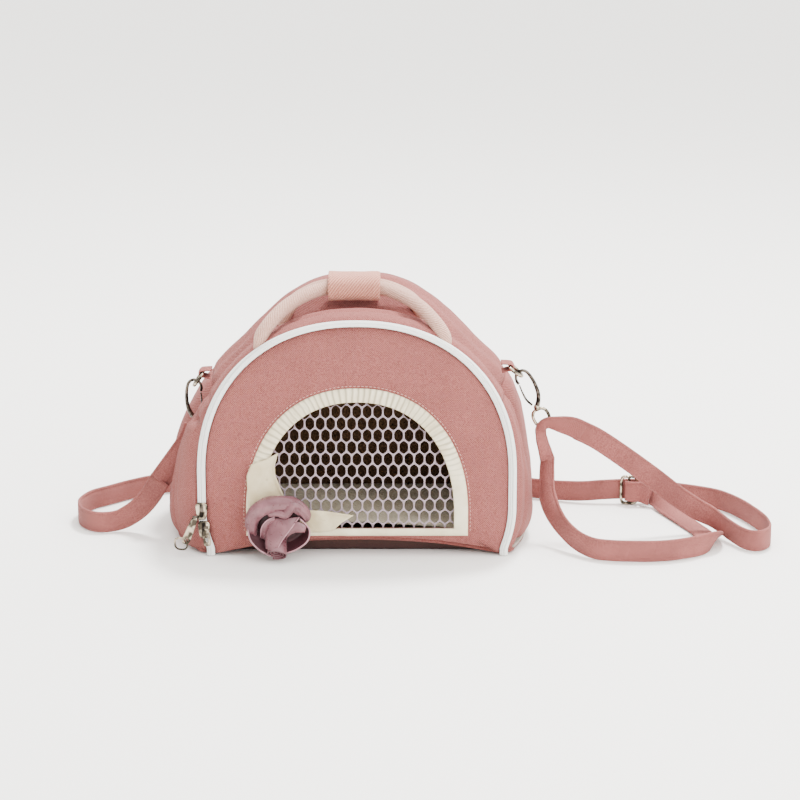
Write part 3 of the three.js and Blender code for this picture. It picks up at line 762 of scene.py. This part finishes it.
def build_back():
    """The bulged back panel, its lining and its piping."""
    outline = closed_hoop(-0.2)

    def bulge(t, x, z):
        p = (x, 0, z)
        return DEPTH - 2.6 + 3.4 * (1 - (1 - min(1, 3 * t)) ** 2) + 0.8 * ripple(p, 30, 3)

    back = solid(fan("back_canvas", outline, (0, 60), bulge, PINK), 2.0)
    place(back, "bag", "canvas", "back_panel")
    def lining_y(t, x, z):
        return DEPTH - 6 - 1.2 * ripple((x, 0, z), 22, 8)

    lining = fan("cabin_back", closed_hoop(6), (0, 60), lining_y, SHADED_LINING)
    place(solid(lining, 0.9, offset=1.0), "bag", "lining", "back_lining")
    rim = [Vector((x, DEPTH - 2.2, z)) for x, z in closed_hoop(-0.6)]
    rim = [Vector(lopsided(*p)) for p in rim]
    piping = tube("back_piping", rim, (1.5, 1.5), PINK, sides=8, loop=True)
    place(piping, "bag", "canvas")


def base_rise(x, y):
    """The front edge of the base bows up between its two corners."""
    back = max(0.0, 1 - (y - 7) / 34)
    across = max(0.0, 1 - (x / (section(y)[0] - 16)) ** 2)
    return 10.4 * across * back ** 2


def build_base():
    """The base panel, whose front edge bows up."""
    rows = []
    for y in steps(6.4, DEPTH - 1.5, 40):
        half = half_at(y) - 0.6
        row = []
        for x in steps(-half, half, 60):
            edge = smooth(half - abs(x), 0, 5)
            z = 2.6 + base_rise(x, y) + 1.4 * (1 - edge)
            row.append(at(*lopsided(x, y, z)))
        rows.append(row)
    base = solid(grid("base_canvas", rows, PINK), 2.3, offset=-1.0)
    place(base, "bag", "canvas", "base_panel")


def build_painted_shadow():
    """A dark strip from the base's front edge down to the ground: painted shadow under the raised front."""
    rows = []
    for t in steps(0, 1, 6):
        row = []
        for x in steps(-92, 92, 50):
            high = 1.2 + base_rise(x, 10)
            row.append(at(x, 10 + 5 * t, high + (0.7 - high) * t))
        rows.append(row)
    place(solid(grid("painted_shadow_under_front", rows, SHADE), 0.6), "bag", "canvas")


def paint_board():
    board = frame["nodes"]["base_board"]
    board.data.materials.clear()
    board.data.materials.append(BOARD)


def build_cushion():
    """The loose plush cushion on the floor of the cabin."""
    pad = []
    half_wide = (PAD_HIGH[0] - PAD_LOW[0]) / 2
    for t in steps(0, 1, 44):
        y = PAD_LOW[1] - FRONT / MM + 1 + t * (PAD_HIGH[1] - PAD_LOW[1] - 3)
        half = min(half_wide, half_at(y) - 7.5)
        row = []
        for w in steps(0, 2 * math.pi, 60)[:-1]:
            x = half * boxy(math.cos(w), 0.25)
            end = min(1, 6 * t, 6 * (1 - t)) ** 0.5
            z = 12.3 + base_rise(x, y) + 5.6 * boxy(math.sin(w), 0.4) * end
            if math.sin(w) > 0:
                z += 0.5 * ripple((x, y, 0), 16)
            row.append(at(x, y, z))
        pad.append(row)
    cushion = grid("floor_cushion", pad, PAD, wrap=True, caps=True)
    place(cushion, "bag", "lining", "floor_pad")


# ---------------------------------------------------------------- door, window and zip

WINDOW = {"half": TRIM_HIGH[0] - TRIM_WIDTH, "legs": 30, "top": TRIM_HIGH[2] - TRIM_WIDTH, "sill": 20}
DOOR_LIFT = 9.9


def bottom_of_door(x):
    return DOOR_FOOT - 2.6 + (DOOR_LIFT + 2.2) * (1 - ((x - 6) / (DOOR_HALF + 4)) ** 2)


def door_outline(count):
    outline = arch(DOOR_HALF + DOOR_OVERLAP, FRONT_LEGS, DOOR_TOP + DOOR_OVERLAP, DOOR_FOOT - 2.4)
    upper = [p[:2] for p in spaced(outline, count)]
    across = count // 3
    lower = [(x, bottom_of_door(x)) for x in steps(upper[-1][0], upper[0][0], across)[1:-1]]
    return upper + lower


def window_outline(grow, count, drop=None):
    sill = WINDOW["sill"] - (grow if drop is None else drop)
    outline = arch(WINDOW["half"] + grow, WINDOW["legs"], WINDOW["top"] + grow, sill, tucked=False)
    upper = [p[:2] for p in spaced(outline, count)]
    across = count // 3
    lower = [(x, sill) for x in steps(upper[-1][0], upper[0][0], across)[1:-1]]
    return upper + lower


def door_sheet(name, grow, y_of, material):
    """The door's plate as a ring of cloth from the window's edge out to the door's edge."""
    inner = window_outline(grow, 150)
    outer = door_outline(150)
    rows = []
    for t in steps(0, 1, 22):
        row = []
        for (ax, az), (bx, bz) in zip(inner, outer):
            x, z = ax + (bx - ax) * t, az + (bz - az) * t
            row.append(at(x, y_of(t, x, z), z))
        rows.append(row)
    return flat_weave(grid(name, rows, material, wrap=True))


def build_door():
    """The door's puffed canvas and its lining."""
    def puff(t, x, z):
        swell = math.sin(math.pi * min(1, t * 1.02)) ** 0.6
        edge = 1.4 * smooth(t, 0.9, 1.0) + 1.4 * smooth(t, 0.8, 1.0) * smooth(z, 120, 160)
        return 1.2 - 1.6 * swell + edge - 0.45 * ripple((x, 0, z), 26, 2) - 0.2 * ripple((x, 0, z), 9, 4)

    canvas = solid(door_sheet("door_canvas", 0, puff, PINK), 2.2)
    place(canvas, "door", "canvas", "door_panel")
    inside = door_sheet("door_inside", 1.5, lambda t, x, z: 5.4 + 0.5 * ripple((x, 0, z), 20, 6), SHADED_LINING)
    place(solid(inside, 1.0, offset=1.0), "door", "lining", "door_lining")


def build_door_hinge():
    """The strip of cloth that bends between the door's bottom edge and the base."""
    rows = []
    for t in steps(0, 1, 10):
        row = []
        for x in steps(CORNER["tuck"] + 1 - DOOR_HALF, DOOR_HALF - 1 - CORNER["tuck"], 60):
            low = bottom_of_door(x) + 0.8
            y = 2.2 + (9 - 2.2) * t
            z = low + (2.0 + base_rise(x, 9) - low) * t
            row.append(at(x, y, max(0.5, z + 0.8 * math.sin(math.pi * t))))
        rows.append(row)
    hinge = solid(grid("door_hinge_strip", rows, PINK), 1.2, offset=0.0)
    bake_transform(hinge)


NET = {"pitch": 7.0, "row_step": 8.2, "hole_wide": 0.84, "hole_tall": 0.88}
HEXAGON = [(0, 2 / 3), (0.5, 1 / 3), (0.5, -1 / 3), (0, -2 / 3), (-0.5, -1 / 3), (-0.5, 1 / 3)]


def build_net():
    """A knitted net with long hexagonal holes, behind the window's ribbon."""
    points, faces, index = [], [], {}

    def point(x, z):
        """The number of the net's point at x and z, which is made if it isn't there yet."""
        key = (round(x * 20), round(z * 20))
        if key not in index:
            reach = math.hypot(x / WINDOW["half"], (z - 60) / 50)
            y = 3.6 - 1.6 * (1 - min(1, reach) ** 2) + 0.25 * ripple((x, 0, z), 15, 3)
            index[key] = len(points)
            points.append(at(x, y, z))
        return index[key]

    def limit(z):
        """How far the net reaches to each side at a height, a little under the ribbon."""
        top = WINDOW["top"] + 4 - WINDOW["legs"]
        rise = max(0.0, z - WINDOW["legs"]) / top
        return (WINDOW["half"] + 4) * max(0.0, 1 - rise ** POWER) ** (1 / POWER) if rise < 1 else 0

    pitch, row_step = NET["pitch"], NET["row_step"]
    for j in range(round((WINDOW["top"] + 10 - WINDOW["sill"]) / row_step) + 1):
        cz = WINDOW["sill"] - 1 + j * row_step
        reach = min(limit(cz - 3), limit(cz + 3))
        for i in range(-11, 12):
            cx = (i + 0.5 * (j % 2)) * pitch
            ragged = 0.6 * ripple((i * 9, j * 9, 0), 25)
            if abs(cx + ragged) > reach - 0.5 or cz > WINDOW["top"] + 1:
                continue
            corners = [(cx + a * pitch, cz + b * row_step) for a, b in HEXAGON]
            outer = []
            for (ax, az), (bx, bz) in zip(corners, corners[1:] + corners[:1]):
                outer += [(ax, az), ((ax + bx) / 2, (az + bz) / 2)]
            inner = [(cx + (x - cx) * NET["hole_wide"], cz + (z - cz) * NET["hole_tall"]) for x, z in outer]
            a = [point(*p) for p in outer]
            b = [point(*p) for p in inner]
            for k in range(len(a)):
                faces.append((a[k - 1], a[k], b[k], b[k - 1]))
    net = make("window_net", points, faces, YARN)
    solid(net, 0.75, offset=0.0)
    modify(net, "SUBSURF", levels=1, render_levels=1)
    place(net, "door", "mesh", "window_mesh")


def ring_between(name, inner, outer, profile, material):
    """A band between two closed outlines. profile(k) lists the share across and y of its section."""
    rows = []
    for k, ((ax, az), (bx, bz)) in enumerate(zip(inner, outer)):
        row = []
        for t, y in profile(k):
            row.append(at(ax + (bx - ax) * t, y, az + (bz - az) * t))
        rows.append(row)
    return grid(name, rows, material, wrap=True, loop=True)


def build_ribbon():
    """The window's border, pleated round its arch and flat along its legs and sill."""
    count = 420
    inner = window_outline(0, count)
    outer = window_outline(TRIM_WIDTH, count, drop=5)
    arch_end = count + 1

    def profile(k):
        pleat = math.sin(k * 2 * math.pi / 6.2 + 1.5 * ripple((k, 0, 0), 20)) if k < arch_end else 0
        pleat *= smooth(k, 60, 110) * (1 - smooth(k, 330, 380)) * (0.65 + 0.5 * ripple((k, 9, 0), 12))
        waver = 0.25 * ripple((k, 0, 0), 16, 7)
        lift = -0.7 * pleat
        crest = -1.8 + lift + waver
        return [(0, 0.4), (0, -1.1), (0.08, -1.5 + 0.7 * lift), (0.35, crest), (0.65, crest),
                (0.9, -1.4 + 0.8 * lift), (1, -0.8 + 0.3 * lift), (1, 0.6), (0.5, 0.7)]

    ribbon = ring_between("window_ribbon", inner, outer, profile, PLEATED)
    place(ribbon, "door", "ribbon", "window_trim")


def build_stitches():
    """Running stitches round the ribbon's outer edge."""
    outline = window_outline(TRIM_WIDTH + 1.5, 330, drop=5)[:331]
    points, faces = [], []
    for k in range(4, 326, 3):
        (ax, az), (bx, bz) = outline[k], outline[k + 1]
        ahead = Vector((bx - ax, 0, bz - az)).normalized()
        side = Vector((-ahead.z, 0, ahead.x))
        middle = Vector(((ax + bx) / 2, 0.1, (az + bz) / 2))
        first = len(points)
        stitch = ((-0.85, 0.12, 0.0), (-0.5, 0.3, -0.45), (0.5, 0.3, -0.45), (0.85, 0.12, 0.0))
        for along, wide, proud in stitch:
            for turn in range(6):
                w = turn * math.pi / 3
                p = middle + ahead * along + side * (wide * math.cos(w))
                p.y += proud + wide * math.sin(w) * 0.8
                points.append(at(*p))
        for ring in range(3):
            for turn in range(6):
                a = first + ring * 6 + turn
                b = first + ring * 6 + (turn + 1) % 6
                faces.append((a, b, b + 6, a + 6))
        faces.append(tuple(first + i for i in reversed(range(6))))
        faces.append(tuple(first + 18 + i for i in range(6)))
    place(make("ribbon_stitches", points, faces, THREAD), "door", "canvas")


def zip_half(name, sign, body, node):
    """One half of the closed zip: a tape and a row of coil teeth along its inner edge."""
    count = 1000
    line = spaced(arch(ZIP_HALF, FRONT_LEGS, ZIP_TOP, FOOT - 2.6), count)
    rows = []
    for k, (x, z, nx, nz) in enumerate(line):
        tooth = 1 - k % 2
        lean = math.radians(68) * max(0.0, nz) ** 1.5
        crest = -1.2 - 0.25 * tooth
        profile = [(0.1, 1.2), (0.1, -0.9 - 0.2 * tooth), (0.4, crest), (1.2, crest),
                   (1.4, -0.8), (1.6, -0.5), (2.4, -0.4), (2.7, 0), (2.7, 1.2)]
        row = []
        for out, y in profile:
            reach = sign * out
            dx = reach * math.cos(lean) - y * math.sin(lean)
            dy = y * math.cos(lean) + reach * math.sin(lean)
            row.append(at(x + nx * dx, 0.6 + 2.2 * math.sin(lean) + dy, max(0.4, z + nz * dx)))
        rows.append(row)
    piece = grid(name, rows, TAPE, wrap=True, caps=True)
    place(piece, body, "zip", node)


def plate(name, outline, hole, y, thick, material):
    """A plate with rounded edges between an outline and a hole of as many points."""
    half = thick / 2
    front = [(0, -half * 0.6), (0.12, -half), (0.88, -half), (1, -half * 0.6)]
    profile = front + [(t, -dy) for t, dy in reversed(front)]
    rows = []
    for (ax, az), (bx, bz) in zip(hole, outline):
        rows.append([at(ax + (bx - ax) * t, y + dy, az + (bz - az) * t) for t, dy in profile])
    return grid(name, rows, material, wrap=True, loop=True)


def oval(x, z, wide, tall, count=24, power=1.0):
    """A closed outline about a centre, from an ellipse at power 1 to a rectangle near 0."""
    turn = steps(0, 2 * math.pi, count)[:-1]
    return [(x + wide * boxy(math.cos(w), power), z + tall * boxy(math.sin(w), power)) for w in turn]


def pull(name, top, length, width, lean, y, body, node, disc):
    """A pull tab hanging from a slider, leaning to one side, with a hole or a small disc at its end."""
    turn = math.radians(lean)

    def turned(points):
        c, s = math.cos(turn), math.sin(turn)
        return [(top[0] + x * c + z * s, top[1] + z * c - x * s) for x, z in points]

    outline = oval(0, -length / 2, width / 2, length / 2, power=0.45)
    outline = [(x * (0.72 + 0.28 * min(1, -z / length * 1.6)), z) for x, z in outline]
    hole = oval(0, -length + width * 0.55, width * 0.26, width * 0.26)
    if not disc:
        hole = oval(0, -length * 0.62, width * 0.2, length * 0.2)
    knuckle = [Vector((top[0] + a, y, top[1] - 0.3)) for a in (-width * 0.36, 0, width * 0.36)]
    parts = [plate(name, turned(outline), turned(hole), y, 1.1, METAL),
             tube(name + "_knuckle", knuckle, (0.9, 0.9), DARK_METAL, sides=10)]
    if disc:
        x, z = turned([(0, -length + width * 0.55)])[0]
        rim = [Vector((a, y - 0.6, b)) for a, b in oval(x, z, width * 0.34, width * 0.34)]
        parts.append(tube(name + "_grommet", rim, (0.4, 0.5), METAL, sides=8, loop=True))
    place(join(name, parts), body, "nickel", node)
    return turned([(0, -length + width * 0.55)])[0]


def slider(name, body, y):
    """A zip slider: a waisted body with a raised bridge."""
    low, high = size_of(name)
    z = (low[2] + high[2]) / 2
    x = (low[0] + high[0]) / 2 + corner_tuck(z)
    wide, tall = (high[0] - low[0]) / 2, (high[2] - low[2]) / 2
    outline = [(a * (1 - 0.22 * smooth(z - b, -tall, tall)) + x * 0.22 * smooth(z - b, -tall, tall), b)
               for a, b in oval(x, z, wide, tall, power=0.5)]
    rows = []
    for t, dy in ((1, 1.6), (1, 0), (0.93, -0.5), (0.8, -0.7), (0.45, -0.75), (0.05, -0.75)):
        rows.append([at(x + (a - x) * t, y + dy, z + (b - z) * t) for a, b in outline])
    shell = grid(name + "_body", rows, METAL, wrap=True)
    arc = [(-0.4, 0.8), (-1.1, 0.55), (-1.3, 0), (-1.1, -0.4), (-0.4, -0.6)]
    arc = [Vector(p) for p in curve_points([(x, y + dy, z + tall * share) for dy, share in arc], 16)]
    bridge = tube(name + "_bridge", arc, (0.5, 1.4), DARK_METAL, sides=10)
    place(join(name + "_finished", [shell, bridge]), body, "nickel", name)


def build_sliders():
    """The two zip sliders, with the upper one's long pull and square ring and the lower one's pull."""
    slider("slider_upper", "slider_upper", -1.6)
    x, y, z = joint_at("pull_tab_upper_swing")
    end = pull("long_pull", (x + 1.4, z + 0.7), 21, 5.6, 22, y, "pull_tab_upper", "pull_tab_upper", True)
    x, z = end[0] - 3.6, max(4.6, end[1] - 2.6)
    ring = [Vector((a, y - 0.25 * (a - x), b)) for a, b in oval(x, z, 4.3, 4.1, power=0.75)]
    wire = tube("square_ring", ring, (0.65, 0.65), METAL, sides=10, loop=True)
    place(wire, "pull_ring", "nickel", "pull_ring")
    slider("slider_lower", "door", -1.6)
    x, y, z = joint_at("pull_tab_lower_swing")
    pull("short_pull", (x, z + 0.7), 13.5, 5.2, -6, y, "pull_tab_lower", "pull_tab_lower", False)


def build_adjuster():
    """A sliding bar buckle standing on the strap."""
    low, high = size_of("adjuster")
    x, z = (low[0] + high[0]) / 2, (low[2] + high[2]) / 2
    y = (low[1] + high[1]) / 2 - FRONT / MM
    wide, tall = (high[0] - low[0]) / 2, (high[2] - low[2]) / 2
    hole = oval(x, z, wide - 1.9, tall - 1.9, 40, 0.35)
    rim = plate("buckle", oval(x, z, wide, tall, 40, 0.4), hole, y, 2.2, METAL)
    bar = [Vector((x, y, b)) for b in steps(z - tall + 1.5, z + tall - 1.5, 12)]
    bar = tube("buckle_bar", bar, (1.0, 1.0), METAL, sides=12)
    place(join("buckle", [rim, bar]), "adjuster", "nickel", "adjuster")


# ---------------------------------------------------------------- rose and leaves

def build_leaves():
    """The two pointed leaves of cream ribbon behind the rose, in a darker copy of the ribbon as painted
    shade.
    """
    fronts = {
        "leaf_upper": [(-73.5, 32), (-74, 58), (-71, 66), (-61, 69.5), (-52.8, 74.5), (-55, 66), (-54.8, 59),
                       (-48.7, 43), (-52, 32)],
        "leaf_lower": [(-40, 19), (-26, 18.6), (-16.5, 19.8), (-11, 25), (-2.2, 30.8), (-14, 32.6),
                       (-26, 33.6), (-42, 34)],
    }
    for node, outline in fronts.items():
        low = size_of(node)[0]
        y0 = low[1] - FRONT / MM
        centre = sum((Vector(p) for p in outline), Vector((0, 0))) / len(outline)
        edge = []
        for a, b in zip(outline, outline[1:] + outline[:1]):
            edge += [(a[0] + (b[0] - a[0]) * t, a[1] + (b[1] - a[1]) * t) for t in steps(0, 1, 8)[:-1]]
        rows = []
        for t in steps(0, 0.998, 10):
            row = []
            for x, z in edge:
                px, pz = x + (centre.x - x) * t, z + (centre.y - z) * t
                fold = 0.5 * math.sin(px * 0.5 + pz * 0.25) + 0.8 * ripple((px, 0, pz), 9, 2)
                curl = 1.8 * bump(t, 0, 0.25) * smooth(px, centre.x, centre.x + 9)
                row.append(at(px, y0 - 0.2 - 0.6 * fold * smooth(t, 0, 0.4) - curl, pz))
            rows.append(row)
        piece = solid(grid(node + "_ribbon", rows, LEAF_SHADED, wrap=True), RIBBON_THICK, offset=0.0)
        place(piece, "door", "leaf_ribbon", node)


def petal(name, rim, root, cup=0.0, count=26, material=ROSE):
    """A piece of ribbon from a root line to a rim line, bellied forward by cup."""
    top = curve_points(root, count)
    end = curve_points(rim, count)
    rows = []
    for t in steps(0, 1, 14):
        row = []
        for a, b in zip(top, end):
            p = Vector(a).lerp(Vector(b), t)
            p.y -= cup * math.sin(math.pi * t) + 0.5 * ripple(p, 7, 1)
            row.append(at(*p))
        rows.append(row)
    return solid(grid(name, rows, material), RIBBON_THICK, offset=0.0)


def rolled_rim(name, rim, radius=0.55):
    """A ribbon's rolled edge, in a lighter copy of the rose satin: a painted highlight."""
    line = [Vector(p) for p in curve_points(rim, 30)]
    return tube(name, line, (radius, radius), ROSE_LIT_RIM, sides=10)


def join(name, parts):
    """One object from several mesh pieces, their modifiers applied first."""
    bpy.context.view_layer.update()
    depsgraph = bpy.context.evaluated_depsgraph_get()
    for part in parts:
        mesh = bpy.data.meshes.new_from_object(part.evaluated_get(depsgraph))
        part.modifiers.clear()
        part.data = mesh
    for other in bpy.context.view_layer.objects:
        other.select_set(False)
    for part in parts:
        part.select_set(True)
    bpy.context.view_layer.objects.active = parts[0]
    bpy.ops.object.join()
    parts[0].name = name
    return parts[0]


def from_rose(*points):
    """Points given from the middle of the rose, at its front plane."""
    return [(ROSE_X + x, y, ROSE_Z + z) for x, y, z in points]


def build_tail():
    """The rolled tail: a sheet wound in a spiral, leaning out and down to its open end."""
    root, end = (Vector(p) for p in from_rose((-1, -2, -5), (-2.2, -16.5, -18.6)))
    axis = (end - root).normalized()
    side = axis.cross(Vector((0, 1, 0))).normalized()
    front = side.cross(axis).normalized()
    turns = 3.3 * 2 * math.pi
    rows = []
    for t in steps(0, 1, 22):
        row = []
        for w in steps(0, turns, 110):
            r = (1.0 + 6.3 * w / turns) * (0.9 + 0.12 * smooth(t, 0.4, 1.0))
            dip = 2.0 * (1 - w / turns) * smooth(t, 0.75, 1)
            p = root.lerp(end, t) - axis * dip + side * (r * math.cos(w)) + front * (r * math.sin(w) * 0.85)
            row.append(at(*p))
        rows.append(row)
    roll = solid(grid("rose_roll", rows, ROSE), RIBBON_THICK, offset=0.0)
    place(roll, "door", "satin", "rose_bud")


def build_inner_folds():
    """The smooth flap folded over the tail, a tuck beside the slot, and a curled crest."""
    flap_rim = from_rose((13.5, -12, 7), (8, -15.5, 0), (2.5, -17.5, -7), (-1.5, -17.5, -14))
    flap_root = from_rose((-5, -10.5, 6.5), (-8, -11.5, -1), (-9.5, -13, -8), (-9.2, -14.5, -14.5))
    tuck_rim = from_rose((-13, -8, -9), (-12, -12, -1), (-8.5, -13, 4.5), (-3, -12.5, 7))
    tuck_root = from_rose((-9, -9.5, -10), (-8, -11.5, -2), (-6, -11.5, 2), (-2, -11, 3.5))
    crest = from_rose((-7, -12, 8.5), (-1, -14.5, 10.5), (4, -15.2, 9.5), (7, -15.5, 12.5), (9.5, -15, 16),
                      (14, -13.5, 14.5), (16.5, -12, 10))

    def girth(t):
        middle = math.sin(math.pi * t)
        return 1.1 + 0.9 * middle, 1.6 + 1.3 * middle

    folds = [petal("rose_flap", flap_rim, flap_root, cup=2.4),
             petal("rose_tuck", tuck_rim, tuck_root, cup=0.8),
             tube("rose_curl", [Vector(p) for p in curve_points(crest, 46)], girth, ROSE),
             rolled_rim("rose_flap_edge", [(x, y - 0.2, z) for x, y, z in flap_rim], 0.4),
             rolled_rim("rose_tuck_edge", tuck_rim, 0.45)]
    place(join("rose_inner_folds", folds), "door", "satin", "rose_inner_petals")


def build_outer_folds():
    """The outer ribbon: a puffed roll over the top, a dark pocket on the left and a loop on the right, the
    pocket, loop and backing coloured with painted shade.
    """
    x, z = ROSE_X, ROSE_Z

    def girth(t):
        middle = math.sin(math.pi * t) ** 0.6
        return 2.6 + 3.2 * middle, 2.2 + 3.6 * middle

    arc = from_rose((-18, -5, -8), (-19, -8, 1), (-16, -9.5, 9), (-8, -10.5, 14.5), (2, -11, 16),
                    (11, -10.5, 14.5), (17.5, -9, 8), (17, -8, 3))
    dome = tube("rose_dome", [Vector(p) for p in curve_points(arc, 54)], girth, ROSE, sides=24)
    for vertex in dome.data.vertices:
        p = vertex.co / MM
        groove = math.sin(1.9 * math.hypot(p.x - x, p.z - z) + 3 * ripple(p, 10))
        vertex.co.y -= (0.6 * groove + 0.8 * ripple(p, 6, 2)) * MM
    left_rim = from_rose((-21.5, -8, 2), (-20, -13, -8), (-14, -15, -15), (-6, -14, -20))
    left_root = from_rose((-19, -4, 6), (-15, -4, -3), (-9, -4.5, -9), (-4, -5, -12))
    right_rim = from_rose((14, -13, 6), (20, -13, -1), (19, -14, -9), (12, -14, -15), (4, -13, -18.5))
    right_root = from_rose((12, -4.5, 7), (16, -4, 0), (15, -4, -7), (9, -4.5, -12), (3, -5, -14))
    lip_rim = from_rose((4, -13.5, -8), (9.5, -14.5, -3.5), (17, -13, -3.5))
    lip_root = from_rose((8, -14, 3), (13, -14, 4), (18.5, -12, 1))
    dish = oval(x, z - 1, 16.5, 15.5, 40)
    rows = []
    for t in (1, 0.7, 0.4, 0.05):
        rows.append([at(x + (a - x) * t, -4.2 + 1.2 * t, z + (b - z) * t) for a, b in dish])
    backing = solid(grid("rose_backing", rows, ROSE_SHADED, wrap=True), RIBBON_THICK, offset=0.0)
    folds = [dome,
             petal("rose_pocket", left_rim, left_root, cup=-1.4, material=ROSE_SHADED),
             petal("rose_loop", right_rim, right_root, cup=-1.2, material=ROSE_SHADED),
             petal("rose_lip", lip_rim, lip_root, cup=1.0, count=16),
             backing,
             rolled_rim("rose_left_rim", left_rim),
             rolled_rim("rose_right_rim", right_rim)]
    place(join("rose_outer_folds", folds), "door", "satin", "rose_outer_petals")


# ---------------------------------------------------------------- handles

def both_sides(half):
    """A whole route from the half that runs out from the crown."""
    return [(-x, y, z) for x, y, z in reversed(half)][:-1] + list(half)


def build_handles():
    """The two rolled handles, front and rear."""
    for side, half in (("front", FRONT_HANDLE), ("rear", REAR_HANDLE)):
        line = [Vector(p) + Vector((-2.5, 0, 0)) for p in curve_points(both_sides(half), 110)]

        def girth(t):
            foot = smooth(min(t, 1 - t), 0, 0.06)
            r = HANDLE_RADIUS * (0.72 + 0.28 * foot)
            return r * (1 + 0.03 * ripple((t * 90, 0, 0), 5)), r

        handle = tube(side + "_handle", line, girth, PEACH, sides=28, across=(0, 0, 1))
        bend(handle, "handle_" + side)


def build_wrap():
    """The cloth wrap that holds the two handles together, as a thick rounded sleeve."""
    middle = [(a + b) / 2 for a, b in zip(WRAP_LOW, WRAP_HIGH)]
    half_y, half_z = (WRAP_HIGH[1] - WRAP_LOW[1]) / 2, (WRAP_HIGH[2] - WRAP_LOW[2]) / 2
    rows = []
    shape = [(-1.0, 0.84), (-1.0, 0.97), (-0.95, 1.0), (-0.6, 0.985), (0, 0.975), (0.6, 0.985), (0.95, 1.0),
             (1.0, 0.97), (1.0, 0.84), (0.5, 0.86), (-0.5, 0.86)]
    for along, share in curve_points(shape + shape[:1], 60)[:-1]:
        row = []
        for w in steps(0, 2 * math.pi, 56)[:-1]:
            y = middle[1] - FRONT / MM + half_y * share * boxy(math.cos(w), 0.8)
            z = middle[2] + half_z * share * boxy(math.sin(w), 0.7)
            x = -2.2 + 17.3 * along * (1 + 0.012 * ripple((0, y, z), 8))
            z += 0.35 * ripple((x, y, z), 9, 4)
            row.append(at(x, y, z))
        rows.append(row)
    wrap = grid("handle_wrap_cloth", rows, WRAP_CLOTH, wrap=True, loop=True)
    place(wrap, "handles", "wrap_cloth", "handle_wrap")


# ---------------------------------------------------------------- rings and hooks

def strap_end(side):
    """Which way a side faces, its ring's pivot, and the direction in which the ring hangs out."""
    sign = -1 if side == "left" else 1
    droop = math.radians(DROOP[side])
    return sign, Vector(joint_at("hook_swing_" + side)), Vector((sign * math.cos(droop), 0, -math.sin(droop)))


def build_ring_tab(side):
    """The cloth loop that holds the ring: in from the seam, round the ring's bar and back."""
    sign, pivot, _ = strap_end(side)
    fold = []
    for w in steps(-90, 90, 8):
        a = math.radians(w)
        fold.append(pivot + Vector((sign * 2.2 * math.cos(a), 0, 2.2 * math.sin(a))))
    ends = [pivot + Vector((-sign * 5.5, 0, -3.4)), pivot + Vector((-sign * 2, 0, -2.4))]
    line = ends + fold + [pivot + Vector((-sign * 2, 0, 2.4)), pivot + Vector((-sign * 6, 0, 2.6))]
    line = [Vector(p) for p in curve_points([tuple(p) for p in line], 36)]
    tab = tube("loop_tab_" + side, line, (6.4, 0.95), PINK, sides=20)
    place(tab, "bag", "canvas", "ring_tab_" + side)


def build_d_ring(side):
    """The D-shaped wire ring, with its straight bar through the cloth loop."""
    _, pivot, out = strap_end(side)
    ring = []
    for w in steps(-90, 90, 16):
        a = math.radians(w)
        reach = RING_REACH * max(0, math.cos(a)) ** 0.8
        ring.append(pivot + out * reach + Vector((0, RING_HALF * math.sin(a), 0)))
    ring += [pivot + Vector((0, v, 0)) for v in steps(RING_HALF, -RING_HALF, 8)[1:-1]]
    wire = tube("d_ring_wire_" + side, ring, (RING_WIRE, RING_WIRE), METAL, sides=12,
                across=out.cross(Vector((0, 1, 0))), loop=True)
    place(wire, "hook_" + side, "nickel", "d_ring_" + side)


def build_hook(side):
    """The snap hook with its swivel, its sprung gate and the eye that holds the strap."""
    sign, pivot, out = strap_end(side)
    tilt = math.radians(HOOK_TILT[side])
    origin = pivot + out * RING_REACH

    def hook_point(a, c):
        x = sign * (a * math.cos(tilt) - c * math.sin(tilt))
        return origin + Vector((x, 0, a * math.sin(tilt) + c * math.cos(tilt)))

    def swivel_girth(t):
        r = 1.3 + 0.9 * math.sin(math.pi * t)
        return r, r

    line = [hook_point(*p) for p in curve_points(HOOK_WIRE, 60)]
    hook = tube("snap_hook_" + side, line, lambda t: (0.8 + 0.9 * t ** 2, 0.95 + 0.8 * t ** 2), DARK_METAL,
                sides=14)
    line = [hook_point(*p) for p in curve_points(SWIVEL, 16)]
    swivel = tube("swivel_" + side, line, swivel_girth, METAL, sides=14)
    place(join("snap_hook_" + side, [hook, swivel]), "hook_" + side, "nickel", "hook_" + side)

    line = [hook_point(*p) for p in curve_points(GATE_WIRE, 30)]
    gate = tube("snap_gate_" + side, line, lambda t: (1.3, 0.5 + 0.35 * t), DARK_METAL, sides=12)
    place(gate, "gate_" + side, "nickel", "hook_gate_" + side)

    loop = [hook_point(*p) for p in oval(0, -EYE_DROP, 5.4, 6.2, 40, 0.8)]
    eye = tube("strap_eye_" + side, loop, (1.1, 1.1), METAL, sides=12, loop=True)
    place(eye, "hook_" + side, "nickel", "hook_eye_" + side)


# ---------------------------------------------------------------- everything

set_camera()
set_studio()
build_adjuster()
build_strap()
build_shell()
build_back()
build_base()
build_painted_shadow()
paint_board()
build_cushion()
build_door()
build_door_hinge()
build_net()
build_ribbon()
build_stitches()
zip_half("zip_half_door", -1, "door", "zip_tape_door")
zip_half("zip_half_body", 1, "bag", "zip_tape_body")
build_sliders()
build_leaves()
build_tail()
build_inner_folds()
build_outer_folds()
build_handles()
build_wrap()
for end in ("left", "right"):
    build_ring_tab(end)
    build_d_ring(end)
    build_hook(end)
